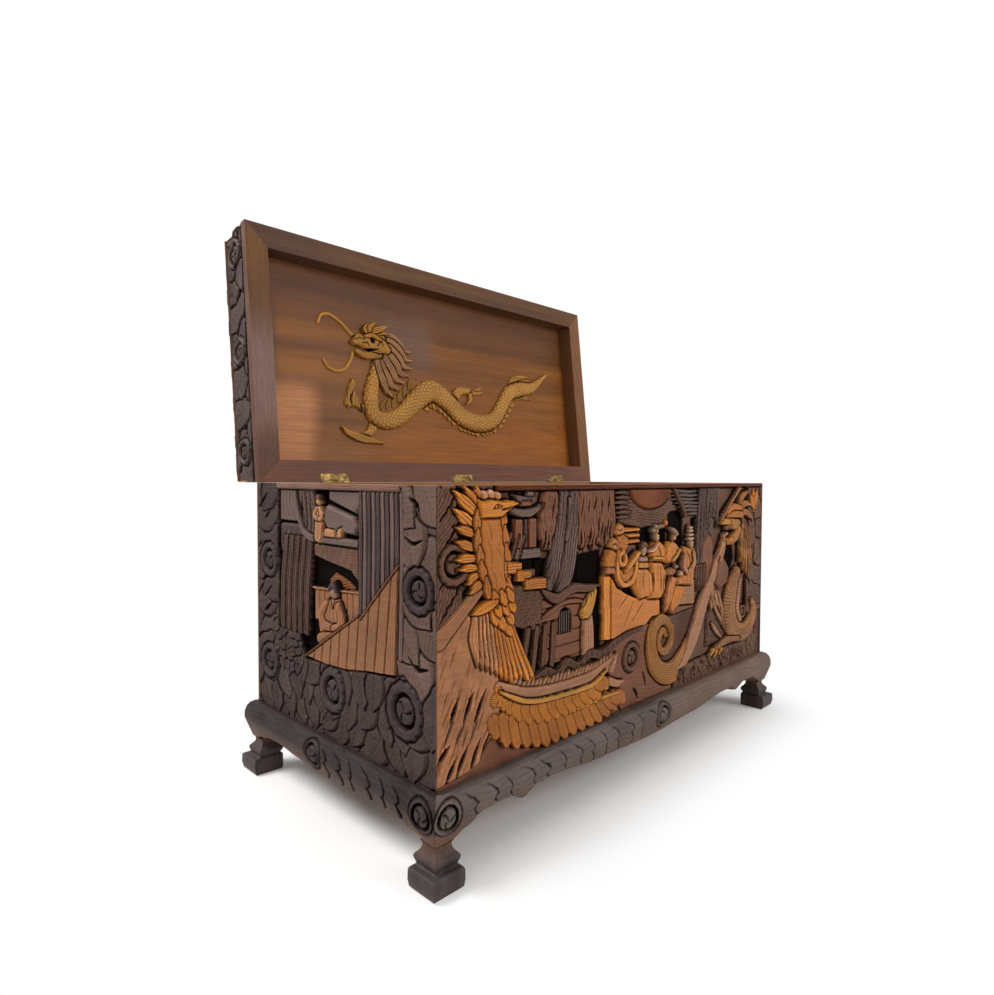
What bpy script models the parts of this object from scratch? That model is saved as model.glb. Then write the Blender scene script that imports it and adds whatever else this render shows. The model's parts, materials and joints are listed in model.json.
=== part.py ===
"""A carved wooden chest with a deep hinged lid, standing open as photographed.

Units are metres, +Z is up, the front of the chest faces -Y and the chest stands on z = 0.
The carcass is dovetailed at its corners and sits on a bulging base of four mitred aprons with four feet.
The lid is a mitred frame round a recessed panel, under a thick top board, on three brass butt hinges.
The lid is modelled closed under an empty on the hinge axis, and that empty then turns it open.
"""

import math

import bmesh
import bpy
from mathutils import Matrix, Vector

# Fits
GAP = 0.0003
OVERCUT = 0.002

# Carcass
BOX_LENGTH = 1.045
BOX_DEPTH = 0.534
BOX_HEIGHT = 0.420
FRONT_THICKNESS = 0.036
BACK_THICKNESS = 0.036
END_THICKNESS = 0.036
SOCKET_LAP = 0.010
TAIL_COUNT = 5
TAIL_NECK = 0.040
TAIL_SLOPE = 1 / 6
BOTTOM_THICKNESS = 0.016
BOTTOM_LIFT = 0.030
BOTTOM_TONGUE = 0.008
BOTTOM_NAMES = ("front", "middle", "rear")

# Base
APRON_INSET = 0.030
APRON_CORNER_DROP = 0.067
APRON_STATIONS = 72
APRON_RING_POINTS = 8
# Bulge of the aprons: drop below the base top, protrusion beyond the box face
APRON_BULGE = ((0, 0.006), (0.003, 0.012), (0.010, 0.017), (0.021, 0.020), (0.032, 0.020), (0.045, 0.016),
               (0.067, 0.009))
# Wavy lower edges: share of the half length from the middle out, drop below the base top
LONG_WAVE = ((0, 0.061), (0.30, 0.054), (0.55, 0.040), (0.62, 0.041), (0.675, 0.055), (0.735, 0.040),
             (0.825, 0.041), (0.895, 0.055), (0.945, 0.066))
SHORT_WAVE = ((0, 0.060), (0.35, 0.054), (0.55, 0.049), (0.70, 0.050), (0.80, 0.058), (0.87, 0.060),
              (0.915, 0.066))
FOOT_HEIGHT = 0.0652
# Foot: share of its height, outer face beyond the box face, inner face inside the box face
FOOT_RINGS = ((0, 0.0185, 0.031), (0.04, 0.021, 0.0328), (0.20, 0.0235, 0.0330), (0.42, 0.023, 0.0328),
              (0.455, 0.0205, 0.0322), (0.475, 0.0135, 0.0305), (0.50, 0.011, 0.0292), (0.54, 0.0115, 0.031),
              (0.60, 0.013, 0.033), (0.65, 0.0135, 0.0335), (0.70, 0.012, 0.032), (0.76, 0.008, 0.028),
              (0.82, 0.005, 0.0255), (0.88, 0.004, 0.0245), (0.94, 0.0045, 0.0245), (0.97, 0.006, 0.0247),
              (1, 0.0085, 0.025))
TENON_SIDE = 0.016
TENON_CENTRE = 0.010
TENON_LENGTH = 0.030
BLOCK_LEG = 0.045
BLOCK_HEIGHT = 0.048

# Lid
LID_LENGTH = BOX_LENGTH
LID_DEPTH = 0.514
LID_THICKNESS = 0.106
LID_OPEN_DEG = 96.2
LID_EASE = 0.0015
RAIL_WIDTH = 0.045
RAIL_DEPTH = 0.058
PANEL_RECESS = 0.040
PANEL_REBATE = 0.008
TOP_FRONT_INSET = 0.010
TOP_EDGE_RADIUS = 0.020
TOP_EDGE_SEGMENTS = 4

# Hinges
HINGE_SETBACK = 0.0095
HINGE_END_DISTANCE = 0.1645
HINGE_NAMES = ("left", "middle", "right")
HINGE_LENGTH = 0.065
LEAF_WIDTH = 0.018
LEAF_THICKNESS = 0.0018
LEAF_SINK = 0.0002
KNUCKLE_COUNT = 5
KNUCKLE_RADIUS = 0.0036
KNUCKLE_CLEARANCE = 0.0006
PIN_RADIUS = 0.0016
PIN_CLEARANCE = 0.0004
ROUND_SIDES = 12
SCREW_SPACING = 0.022
SCREW_INSET = 0.011
SCREW_LENGTH = 0.014
SCREW_HEAD_RADIUS = 0.0034
SCREW_HEAD_DEPTH = 0.0015
SCREW_SHANK_RADIUS = 0.0015
SCREW_SLOT_WIDTH = 0.0008
SCREW_SLOT_DEPTH = 0.0006
SCREW_SIDES = 12

# Dragon on the lid panel: distance along the chest, distance from the hinge axis, half width
DRAGON_HEIGHT = 0.013
DRAGON_ARC = 6
DRAGON_BODY = ((-0.207, 0.300, 0.010), (-0.214, 0.262, 0.013), (-0.226, 0.222, 0.018),
               (-0.232, 0.185, 0.020), (-0.224, 0.155, 0.020), (-0.190, 0.146, 0.021),
               (-0.145, 0.163, 0.023), (-0.100, 0.202, 0.026), (-0.052, 0.230, 0.028),
               (-0.005, 0.210, 0.026), (0.045, 0.172, 0.025), (0.105, 0.158, 0.024),
               (0.160, 0.172, 0.022), (0.195, 0.210, 0.021), (0.228, 0.250, 0.021),
               (0.275, 0.266, 0.021), (0.325, 0.276, 0.015), (0.385, 0.318, 0.003))
DRAGON_HEAD = ((-0.268, 0.318, 0.008), (-0.250, 0.322, 0.016), (-0.225, 0.318, 0.020),
               (-0.195, 0.315, 0.020), (-0.180, 0.310, 0.012))
DRAGON_JAW = ((-0.264, 0.300, 0.005), (-0.240, 0.293, 0.008), (-0.205, 0.300, 0.012))
DRAGON_CREST = ((-0.226, 0.352, 0.006), (-0.200, 0.350, 0.012), (-0.178, 0.362, 0.006))
DRAGON_NAPE = ((-0.198, 0.322, 0.010), (-0.196, 0.338, 0.014), (-0.196, 0.352, 0.010))
DRAGON_MANE = (((-0.190, 0.325, 0.012), (-0.160, 0.312, 0.012), (-0.115, 0.312, 0.003)),
               ((-0.195, 0.310, 0.016), (-0.165, 0.282, 0.017), (-0.118, 0.262, 0.004)),
               ((-0.205, 0.290, 0.014), (-0.192, 0.250, 0.014), (-0.165, 0.222, 0.004)))
DRAGON_WHISKERS = (((-0.255, 0.322, 0.005), (-0.290, 0.358, 0.0035), (-0.325, 0.372, 0.003),
                    (-0.348, 0.362, 0.003), (-0.350, 0.346, 0.002)),
                   ((-0.256, 0.310, 0.005), (-0.275, 0.272, 0.0035), (-0.305, 0.251, 0.003),
                    (-0.332, 0.254, 0.003), (-0.338, 0.268, 0.002)))
DRAGON_LEGS = (((-0.232, 0.162, 0.010), (-0.262, 0.180, 0.008), (-0.285, 0.196, 0.009),
                (-0.276, 0.232, 0.003)),
               ((-0.222, 0.150, 0.013), (-0.228, 0.122, 0.010), (-0.255, 0.104, 0.007),
                (-0.303, 0.114, 0.002)),
               ((0.018, 0.195, 0.014), (0.035, 0.232, 0.013), (0.065, 0.240, 0.010),
                (0.118, 0.252, 0.002)))
DRAGON_TAIL = (((0.215, 0.235, 0.010), (0.255, 0.246, 0.011), (0.322, 0.246, 0.003)),
               ((0.210, 0.250, 0.012), (0.250, 0.286, 0.012), (0.320, 0.284, 0.003)))
DRAGON_STATIONS_PER_SPAN = 2

# Relief, on a front, ends and a lid top of these sizes: depths below the face, and what stays plain at the edges
RELIEF_LENGTH = 1.045
RELIEF_DEPTH = 0.534
RELIEF_HEIGHT = 0.420
RELIEF_LID = 0.514
RELIEF_GROUND = 0.009
RELIEF_POCKET = 0.0165
RELIEF_FOOT = 0.020
RELIEF_END = 0.044
RELIEF_LOW = 0.002
RELIEF_HIGH = 0.410
RELIEF_CROWN = 0.72
RELIEF_STATIONS_PER_SPAN = 1
# Dark openings in the front: left, right, low, high
FRONT_POCKETS = ((-0.196, -0.142, 0.136, 0.296), (-0.006, 0.060, 0.298, 0.342), (0.110, 0.146, 0.290, 0.360),
                 (0.188, 0.202, 0.246, 0.340), (-0.384, -0.314, 0.300, 0.344), (-0.300, -0.206, 0.262, 0.296),
                 (-0.342, -0.268, 0.128, 0.176), (0.052, 0.110, 0.152, 0.200))
# Raised forms of the front: depth below the face, then strips as places with a half width, or outlines
FRONT_FORMS = (
    # Phoenix: crest, neck, head, shoulder, body, breast feathers, planks, wing
    (0.0040, ((-0.462, 0.408, 0.010), (-0.469, 0.370, 0.013), (-0.469, 0.330, 0.013), (-0.462, 0.290, 0.012),
              (-0.455, 0.268, 0.008))),
    (0.0006, ((-0.424, 0.386, 0.020), (-0.420, 0.350, 0.023), (-0.414, 0.310, 0.026), (-0.408, 0.276, 0.030),
              (-0.400, 0.232, 0.028))),
    (0.0003, ((-0.449, 0.400), (-0.414, 0.398), (-0.392, 0.399), (-0.352, 0.392), (-0.374, 0.387),
              (-0.402, 0.369), (-0.430, 0.370), (-0.446, 0.384))),
    (0.0021, ((-0.396, 0.292, 0.009), (-0.430, 0.268, 0.012), (-0.462, 0.250, 0.014))),
    (0.0010, ((-0.482, 0.008), (-0.482, 0.226), (-0.452, 0.246), (-0.450, 0.150), (-0.398, 0.132),
              (-0.388, 0.060), (-0.404, 0.044), (-0.440, 0.022))),
    (0.0013, ((-0.452, 0.228), (-0.384, 0.226), (-0.322, 0.109), (-0.345, 0.112), (-0.446, 0.160))),
    (0.0024, ((-0.398, 0.262), (-0.398, 0.304), (-0.338, 0.303), (-0.300, 0.280), (-0.296, 0.258))),
    (0.0015, ((-0.412, 0.118), (-0.350, 0.116), (-0.280, 0.106), (-0.200, 0.106), (-0.140, 0.110),
              (-0.098, 0.116), (-0.074, 0.060), (-0.060, 0.010), (-0.160, 0.006), (-0.300, 0.007),
              (-0.380, 0.034), (-0.416, 0.070))),
    # Trees, rocks, thatch, eaves, roots and shrub
    (0.0044, ((-0.310, 0.400), (-0.262, 0.406), (-0.250, 0.330), (-0.285, 0.300), (-0.312, 0.330))),
    (0.0046, ((-0.205, 0.300), (-0.203, 0.406), (-0.100, 0.405), (-0.098, 0.360), (-0.125, 0.300))),
    (0.0020, ((-0.248, 0.404, 0.012), (-0.252, 0.360, 0.016), (-0.262, 0.310, 0.021), (-0.284, 0.258, 0.010))),
    (0.0014, ((-0.206, 0.402, 0.009), (-0.212, 0.345, 0.015), (-0.226, 0.290, 0.022), (-0.246, 0.246, 0.020))),
    (0.0050, ((-0.386, 0.268), (-0.306, 0.262), (-0.262, 0.198), (-0.290, 0.180), (-0.366, 0.200))),
    (0.0018, ((-0.316, 0.252, 0.004), (-0.262, 0.230, 0.012), (-0.206, 0.250, 0.008), (-0.178, 0.246, 0.005))),
    (0.0038, ((-0.330, 0.112, 0.008), (-0.262, 0.118, 0.009), (-0.176, 0.123, 0.009), (-0.100, 0.133, 0.008),
              (-0.020, 0.145, 0.005))),
    (0.0026, ((-0.178, 0.136, 0.015), (-0.181, 0.190, 0.011), (-0.182, 0.225, 0.024), (-0.182, 0.258, 0.004))),
    (0.0042, ((0.226, 0.292), (0.258, 0.312), (0.278, 0.284), (0.272, 0.228), (0.240, 0.196), (0.214, 0.214))),
    (0.0023, ((0.232, 0.404, 0.020), (0.222, 0.320, 0.022), (0.216, 0.240, 0.018))),
    (0.0034, ((0.266, 0.398, 0.022), (0.262, 0.330, 0.014), (0.262, 0.250, 0.010))),
    (0.0048, ((0.130, 0.019, 0.014), (0.300, 0.022, 0.018), (0.470, 0.030, 0.024))),
    # Sun, roundel, boat, deck and six figures
    (0.0039, ((-0.045, 0.405), (-0.036, 0.385), (-0.018, 0.370), (0.004, 0.365), (0.026, 0.370),
              (0.044, 0.385), (0.053, 0.405))),
    (0.0019, ((-0.072, 0.095), (-0.064, 0.074), (-0.043, 0.066), (-0.022, 0.074), (-0.014, 0.095),
              (-0.022, 0.116), (-0.043, 0.124), (-0.064, 0.116))),
    (0.0041, ((-0.122, 0.147), (-0.120, 0.210), (-0.060, 0.212), (0.046, 0.202), (0.054, 0.160),
              (0.006, 0.149))),
    (0.0052, ((0.098, 0.158), (0.104, 0.222), (0.192, 0.212), (0.191, 0.159))),
    (0.0008, ((-0.117, 0.151, 0.018), (-0.118, 0.225, 0.018), (-0.120, 0.290, 0.016), (-0.116, 0.328, 0.009))),
    (0.0016, ((-0.072, 0.224, 0.022), (-0.074, 0.268, 0.030), (-0.086, 0.304, 0.016), (-0.092, 0.352, 0.010))),
    (0.0011, ((-0.014, 0.205, 0.027), (-0.014, 0.245, 0.025), (-0.015, 0.272, 0.017), (-0.014, 0.306, 0.009))),
    (0.0007, ((0.036, 0.207, 0.022), (0.040, 0.248, 0.025), (0.037, 0.288, 0.020), (0.034, 0.336, 0.010))),
    (0.0012, ((0.092, 0.213, 0.026), (0.094, 0.270, 0.030), (0.098, 0.304, 0.016), (0.104, 0.328, 0.009))),
    (0.0009, ((0.172, 0.177, 0.022), (0.168, 0.240, 0.024), (0.166, 0.282, 0.018), (0.166, 0.338, 0.010))),
    # Comet: boss, tail and curl
    (0.0022, ((0.070, 0.090, 0.016), (0.070, 0.114, 0.025), (0.070, 0.138, 0.014))),
    (0.0017, ((0.330, 0.304, 0.004), (0.300, 0.264, 0.008), (0.258, 0.206, 0.013), (0.226, 0.160, 0.017),
              (0.190, 0.104, 0.020), (0.156, 0.066, 0.022))),
    (0.0005, ((0.174, 0.082, 0.013), (0.150, 0.060, 0.020), (0.112, 0.040, 0.022), (0.072, 0.042, 0.020),
              (0.040, 0.064, 0.018), (0.024, 0.100, 0.016), (0.030, 0.132, 0.011), (0.052, 0.146, 0.006))),
    # Dragon: body, leg, mane, head, jaw and whisker
    (0.0004, ((0.392, 0.214, 0.012), (0.374, 0.184, 0.024), (0.360, 0.146, 0.030), (0.362, 0.108, 0.031),
              (0.384, 0.080, 0.027), (0.420, 0.068, 0.022), (0.452, 0.074, 0.019), (0.468, 0.094, 0.014))),
    (0.0025, ((0.280, 0.046, 0.004), (0.306, 0.054, 0.007), (0.344, 0.060, 0.009), (0.396, 0.056, 0.007))),
    (0.0028, ((0.404, 0.346, 0.012), (0.430, 0.300, 0.026), (0.446, 0.256, 0.022), (0.456, 0.224, 0.006))),
    (0.0032, ((0.398, 0.358, 0.012), (0.428, 0.370, 0.018), (0.462, 0.366, 0.004))),
    (0.0007, ((0.306, 0.331, 0.006), (0.334, 0.338, 0.016), (0.366, 0.340, 0.025), (0.398, 0.336, 0.025))),
    (0.0011, ((0.322, 0.290, 0.005), (0.344, 0.288, 0.009), (0.372, 0.296, 0.012), (0.388, 0.312, 0.011))),
    (0.0027, ((0.306, 0.340, 0.003), (0.346, 0.372, 0.004), (0.400, 0.406, 0.004))),
)
# Ends: the sunk garden scene, along from the middle to the front and up, then its forms
END_FIELD = ((-0.186, 0.158), (-0.186, 0.410), (0.182, 0.410), (0.182, 0.300), (0.170, 0.138), (-0.088, 0.116),
             (-0.112, 0.158))
END_FORMS = (
    # Sky, leaves, trunks, slats, striped boards
    (0.0060, ((-0.192, 0.352), (-0.192, 0.414), (-0.106, 0.415), (-0.116, 0.353))),
    (0.0068, ((-0.193, 0.286), (-0.193, 0.355), (-0.112, 0.356), (-0.092, 0.322), (-0.098, 0.284))),
    (0.0045, ((-0.194, 0.152), (-0.194, 0.296), (-0.068, 0.327), (-0.078, 0.160), (-0.110, 0.148))),
    (0.0022, ((0.075, 0.190), (0.074, 0.416), (0.190, 0.417), (0.189, 0.286))),
    (0.0018, ((-0.087, 0.110), (0.073, 0.216), (0.081, 0.211), (0.178, 0.306), (0.187, 0.307), (0.176, 0.132),
              (0.100, 0.127), (-0.020, 0.109))),
    # Rock ledge, branch, slope, fence, then the seated and the standing figure
    (0.0052, ((-0.034, 0.338), (-0.034, 0.388), (-0.018, 0.413), (0.078, 0.418), (0.079, 0.336))),
    (0.0014, ((-0.063, 0.317), (-0.064, 0.332), (0.077, 0.333), (0.0785, 0.315))),
    (0.0056, ((-0.066, 0.292), (-0.067, 0.321), (0.0775, 0.322), (0.0765, 0.262), (0.050, 0.280), (-0.030, 0.290))),
    (0.0084, ((-0.0705, 0.156), (-0.0715, 0.242), (0.0782, 0.250), (0.0792, 0.188))),
    (0.0011, ((-0.052, 0.146), (-0.056, 0.192), (-0.014, 0.236), (0.010, 0.241), (0.026, 0.202), (0.031, 0.184))),
    (0.0015, ((-0.061, 0.328), (-0.058, 0.384), (-0.036, 0.386), (-0.0345, 0.329))),
)
# Lid top: its sunk field, then hills, sun, trees, clouds and waves, along the lid and away from the axis
TOP_FIELD = (-0.428, 0.428, 0.088, 0.416)
TOP_FORMS = (
    (0.0034, ((-0.415, 0.168), (-0.372, 0.222), (-0.300, 0.250), (-0.225, 0.215), (-0.150, 0.168))),
    (0.0044, ((-0.205, 0.172), (-0.160, 0.246), (-0.070, 0.300), (0.010, 0.240), (0.080, 0.172))),
    (0.0039, ((0.040, 0.166), (0.104, 0.212), (0.200, 0.235), (0.300, 0.208), (0.400, 0.166))),
    (0.0045, ((0.148, 0.360), (0.160, 0.390), (0.190, 0.402), (0.220, 0.390), (0.232, 0.360), (0.220, 0.330),
              (0.190, 0.318), (0.160, 0.330))),
    (0.0010, ((-0.372, 0.156, 0.012), (-0.360, 0.230, 0.024), (-0.374, 0.300, 0.034), (-0.364, 0.372, 0.016))),
    (0.0015, ((0.330, 0.156, 0.012), (0.342, 0.230, 0.024), (0.328, 0.300, 0.034), (0.338, 0.372, 0.016))),
    (0.0028, ((-0.320, 0.396, 0.004), (-0.260, 0.398, 0.009), (-0.190, 0.396, 0.004))),
    (0.0031, ((-0.120, 0.384, 0.004), (-0.050, 0.386, 0.009), (0.020, 0.384, 0.004))),
    (0.0048, ((-0.415, 0.106, 0.010), (0.000, 0.108, 0.012), (0.415, 0.106, 0.010))),
    (0.0053, ((-0.410, 0.138, 0.009), (0.000, 0.139, 0.010), (0.410, 0.138, 0.009))),
)

# Places that follow from the sizes
APRON_FOOT = FOOT_HEIGHT + GAP
BASE_HEIGHT = APRON_FOOT + APRON_CORNER_DROP
WALL_BOTTOM = BASE_HEIGHT + GAP
RIM = BASE_HEIGHT + BOX_HEIGHT
AXIS = Vector((0, BOX_DEPTH / 2 - HINGE_SETBACK, RIM + GAP))
LID_BOTTOM = RIM + 2 * GAP
LID_LEAN = math.radians(LID_OPEN_DEG - 90)
PANEL_FACE = LID_BOTTOM + PANEL_RECESS + GAP
BORE_RADIUS = PIN_RADIUS + PIN_CLEARANCE
GROOVE_RADIUS = KNUCKLE_RADIUS + KNUCKLE_CLEARANCE
BOX_LEAF_TOP = RIM - LEAF_SINK
LID_LEAF_BOTTOM = LID_BOTTOM + LEAF_SINK
HINGE_SPACING = BOX_LENGTH / 2 - HINGE_END_DISTANCE
HINGE_PLACES = tuple(zip(HINGE_NAMES, (-HINGE_SPACING, 0, HINGE_SPACING)))
SCREW_PLACES = (-SCREW_SPACING, 0, SCREW_SPACING)
CORNERS = (("front_left", -1, -1), ("front_right", 1, -1), ("rear_right", 1, 1), ("rear_left", -1, 1))
# Turn about +Z that takes the front side of a frame to each side
SIDES = (("front", 0), ("right", 90), ("rear", 180), ("left", 270))


# Small tools

def material(name, colour, roughness, metallic=0.0):
    made = bpy.data.materials.new(name)
    made.use_nodes = True
    shader = made.node_tree.nodes["Principled BSDF"]
    shader.inputs["Base Color"].default_value = (*colour, 1)
    shader.inputs["Roughness"].default_value = roughness
    shader.inputs["Metallic"].default_value = metallic
    return made


def finish(name, bm, look=None, parent=None):
    """Turn a bmesh into a named object with its faces pointing out."""
    bmesh.ops.recalc_face_normals(bm, faces=bm.faces)
    mesh = bpy.data.meshes.new(name)
    bm.to_mesh(mesh)
    bm.free()
    return place(name, mesh, look, parent)


def place(name, mesh, look=None, parent=None, matrix=Matrix()):
    """Link a mesh as an object; under the lid's empty, the place given is that of the closed lid."""
    made = bpy.data.objects.new(name, mesh)
    bpy.context.collection.objects.link(made)
    if look and not mesh.materials:
        mesh.materials.append(look)
    made.parent = parent
    made.matrix_local = (Matrix.Translation(-AXIS) if parent is lid_pivot else Matrix()) @ matrix
    return made


def tool(name, bm, parent=None):
    """A cutter, or a shape to unite with another, that isn't part of the chest by itself."""
    made = finish(name, bm, parent=parent)
    made.hide_render = True
    made.display_type = "WIRE"
    return made


def combine(target, other, operation="DIFFERENCE", solver="EXACT"):
    boolean = target.modifiers.new(other.name, "BOOLEAN")
    boolean.operation = operation
    boolean.solver = solver
    boolean.object = other


def add_box(bm, low, high):
    size = Vector(high) - Vector(low)
    middle = (Vector(high) + Vector(low)) / 2
    bmesh.ops.create_cube(bm, matrix=Matrix.Translation(middle) @ Matrix.Diagonal((*size, 1)))


def add_skin(bm, rings):
    """Skin a row of closed rings of points, with a cap on the first and the last."""
    rows = [[bm.verts.new(point) for point in ring] for ring in rings]
    for row, following in zip(rows, rows[1:]):
        for i in range(len(row)):
            j = (i + 1) % len(row)
            bm.faces.new((row[i], row[j], following[j], following[i]))
    bm.faces.new(reversed(rows[0]))
    bm.faces.new(rows[-1])


def add_prism(bm, outline, start, end):
    """Extrude an outline of (y, z) points along X."""
    add_skin(bm, [[(x, y, z) for y, z in outline] for x in (start, end)])


def add_rod(bm, centre, radius, start, end, sides=ROUND_SIDES):
    """A rod along X round a centre in (y, z)."""
    angles = [2 * math.pi * i / sides for i in range(sides)]
    outline = [(centre[0] + radius * math.cos(a), centre[1] + radius * math.sin(a)) for a in angles]
    add_prism(bm, outline, start, end)


def add_turned(bm, profile, sides, at=(0, 0, 0), up=1):
    """Turn a profile of (radius, height) points about an upright line; up is -1 to turn it over."""
    angles = [2 * math.pi * i / sides for i in range(sides)]
    add_skin(bm, [[(at[0] + r * math.cos(a), at[1] + r * math.sin(a), at[2] + up * z) for a in angles]
                  for r, z in profile])


def trim(bm, point, normal):
    """Cut away what lies beyond a plane and close the cut."""
    geometry = bm.verts[:] + bm.edges[:] + bm.faces[:]
    bmesh.ops.bisect_plane(bm, geom=geometry, plane_co=point, plane_no=normal, clear_outer=True)
    bmesh.ops.holes_fill(bm, edges=bm.edges)


def between(knots, at):
    """Straight interpolation in a row of (place, value) knots."""
    for (a, low), (b, high) in zip(knots, knots[1:]):
        if at <= b:
            return low + (high - low) * (at - a) / (b - a)
    return knots[-1][1]


def eased(knots, at):
    """Interpolation that leaves and reaches each knot level."""
    for (a, low), (b, high) in zip(knots, knots[1:]):
        if at <= b:
            return low + (high - low) * (1 - math.cos(math.pi * (at - a) / (b - a))) / 2
    return knots[-1][1]


def smooth_path(knots, per_span):
    """Points of a smooth curve through the knots, which may carry more than two values."""
    ends = [knots[0], *knots, knots[-1]]
    points = []
    for i in range(len(knots) - 1):
        before, start, end, after = (Vector(k) for k in ends[i:i + 4])
        for step in range(per_span):
            t = step / per_span
            points.append(0.5 * (2 * start + (end - before) * t
                                 + (2 * before - 5 * start + 4 * end - after) * t ** 2
                                 + (3 * start - before - 3 * end + after) * t ** 3))
    points.append(Vector(knots[-1]))
    return points


# Carcass

def tail_half_height(distance):
    """Half height of a dovetail at a distance from its shoulder."""
    return TAIL_NECK / 2 + TAIL_SLOPE * distance


def tail_middles():
    pitch = BOX_HEIGHT / TAIL_COUNT
    return [BASE_HEIGHT + pitch * (i + 0.5) for i in range(TAIL_COUNT)]


def tailed_edge(thickness):
    """Edge of an end panel, bottom to top, as (distance from the box face, height) points."""
    shoulder = thickness + GAP
    tip = SOCKET_LAP + GAP
    neck = tail_half_height(0)
    flare = tail_half_height(thickness - tip)
    edge = [(shoulder, WALL_BOTTOM)]
    for z in tail_middles():
        edge += [(shoulder, z - neck), (tip, z - flare), (tip, z + flare), (shoulder, z + neck)]
    return edge + [(shoulder, RIM)]


def add_sockets(bm, thickness, facing):
    """Sockets for the tails in both ends of the front (facing -1) or back (facing 1) panel."""
    mouth = thickness + OVERCUT
    mouth_half = tail_half_height(-OVERCUT) + GAP
    floor_half = tail_half_height(thickness - SOCKET_LAP) + GAP
    lap = SOCKET_LAP
    corners = ((mouth, -mouth_half), (lap, -floor_half), (lap, floor_half), (mouth, mouth_half))
    for z in tail_middles():
        outline = [(facing * (BOX_DEPTH / 2 - d), z + h) for d, h in corners]
        for end in (-1, 1):
            inner = end * (BOX_LENGTH / 2 - END_THICKNESS - GAP)
            outer = end * (BOX_LENGTH / 2 + OVERCUT)
            add_prism(bm, outline, inner, outer)


def bottom_reach():
    """Half length, front and back of the bottom boards together."""
    return (BOX_LENGTH / 2 - END_THICKNESS + BOTTOM_TONGUE,
            -BOX_DEPTH / 2 + FRONT_THICKNESS - BOTTOM_TONGUE,
            BOX_DEPTH / 2 - BACK_THICKNESS + BOTTOM_TONGUE)


def make_walls():
    half_length, low, high = bottom_reach()
    floor = WALL_BOTTOM + BOTTOM_LIFT
    bm = bmesh.new()
    add_box(bm, (-half_length - GAP, low - GAP, floor - GAP),
            (half_length + GAP, high + GAP, floor + BOTTOM_THICKNESS + GAP))
    groove = tool("bottom_groove", bm)
    walls = {}
    for name, facing, thickness in (("front", -1, FRONT_THICKNESS), ("back", 1, BACK_THICKNESS)):
        near, far = sorted((facing * BOX_DEPTH / 2, facing * (BOX_DEPTH / 2 - thickness)))
        bm = bmesh.new()
        add_box(bm, (-BOX_LENGTH / 2, near, WALL_BOTTOM), (BOX_LENGTH / 2, far, RIM))
        walls[name] = finish(f"{name}_panel", bm, CARVED_WOOD)
        bm = bmesh.new()
        add_sockets(bm, thickness, facing)
        combine(walls[name], tool(f"{name}_sockets", bm))
    outline = [(-BOX_DEPTH / 2 + d, z) for d, z in tailed_edge(FRONT_THICKNESS)]
    outline += [(BOX_DEPTH / 2 - d, z) for d, z in reversed(tailed_edge(BACK_THICKNESS))]
    for name, end in (("left", -1), ("right", 1)):
        bm = bmesh.new()
        add_prism(bm, outline, end * (BOX_LENGTH / 2 - END_THICKNESS), end * BOX_LENGTH / 2)
        walls[name] = finish(f"{name}_end_panel", bm, DARK_WOOD)
    for wall in walls.values():
        combine(wall, groove)
    return walls


def make_bottom():
    half_length, low, high = bottom_reach()
    floor = WALL_BOTTOM + BOTTOM_LIFT
    width = (high - low - GAP * (len(BOTTOM_NAMES) - 1)) / len(BOTTOM_NAMES)
    for i, name in enumerate(BOTTOM_NAMES):
        start = low + i * (width + GAP)
        bm = bmesh.new()
        add_box(bm, (-half_length, start, floor), (half_length, start + width, floor + BOTTOM_THICKNESS))
        finish(f"bottom_board_{name}", bm, INNER_WOOD)


# Base

def side_matrix(turn, middle_y=0.0):
    return Matrix.Translation((0, middle_y, 0)) @ Matrix.Rotation(math.radians(turn), 4, "Z")


def apron_ring(share, half_length, half_depth, wave):
    """Section of the front apron at a share of its half length, sheared so that its ends are mitred."""
    lower = eased(wave, abs(share))
    drops = [lower * i / (APRON_RING_POINTS - 1) for i in range(APRON_RING_POINTS)]
    section = [(between(APRON_BULGE, drop), drop) for drop in drops]
    section += [(-APRON_INSET, lower), (-APRON_INSET, 0)]
    return [(share * (half_length + out - GAP), -half_depth - out, BASE_HEIGHT - drop)
            for out, drop in section]


def make_aprons():
    bm = bmesh.new()
    reach = TENON_SIDE / 2 + GAP
    for _, sx, sy in CORNERS:
        x = sx * (BOX_LENGTH / 2 - TENON_CENTRE)
        y = sy * (BOX_DEPTH / 2 - TENON_CENTRE)
        add_box(bm, (x - reach, y - reach, FOOT_HEIGHT - OVERCUT),
                (x + reach, y + reach, FOOT_HEIGHT + TENON_LENGTH + GAP))
    mortises = tool("foot_mortises", bm)
    for name, turn in SIDES:
        long_side = turn % 180 == 0
        half_length = (BOX_LENGTH if long_side else BOX_DEPTH) / 2
        half_depth = (BOX_DEPTH if long_side else BOX_LENGTH) / 2
        wave = (LONG_WAVE if long_side else SHORT_WAVE) + ((1, APRON_CORNER_DROP),)
        shares = [2 * i / APRON_STATIONS - 1 for i in range(APRON_STATIONS + 1)]
        bm = bmesh.new()
        add_skin(bm, [apron_ring(share, half_length, half_depth, wave) for share in shares])
        bm.transform(side_matrix(turn))
        combine(finish(f"{name}_apron", bm, DARK_WOOD), mortises)


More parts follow.
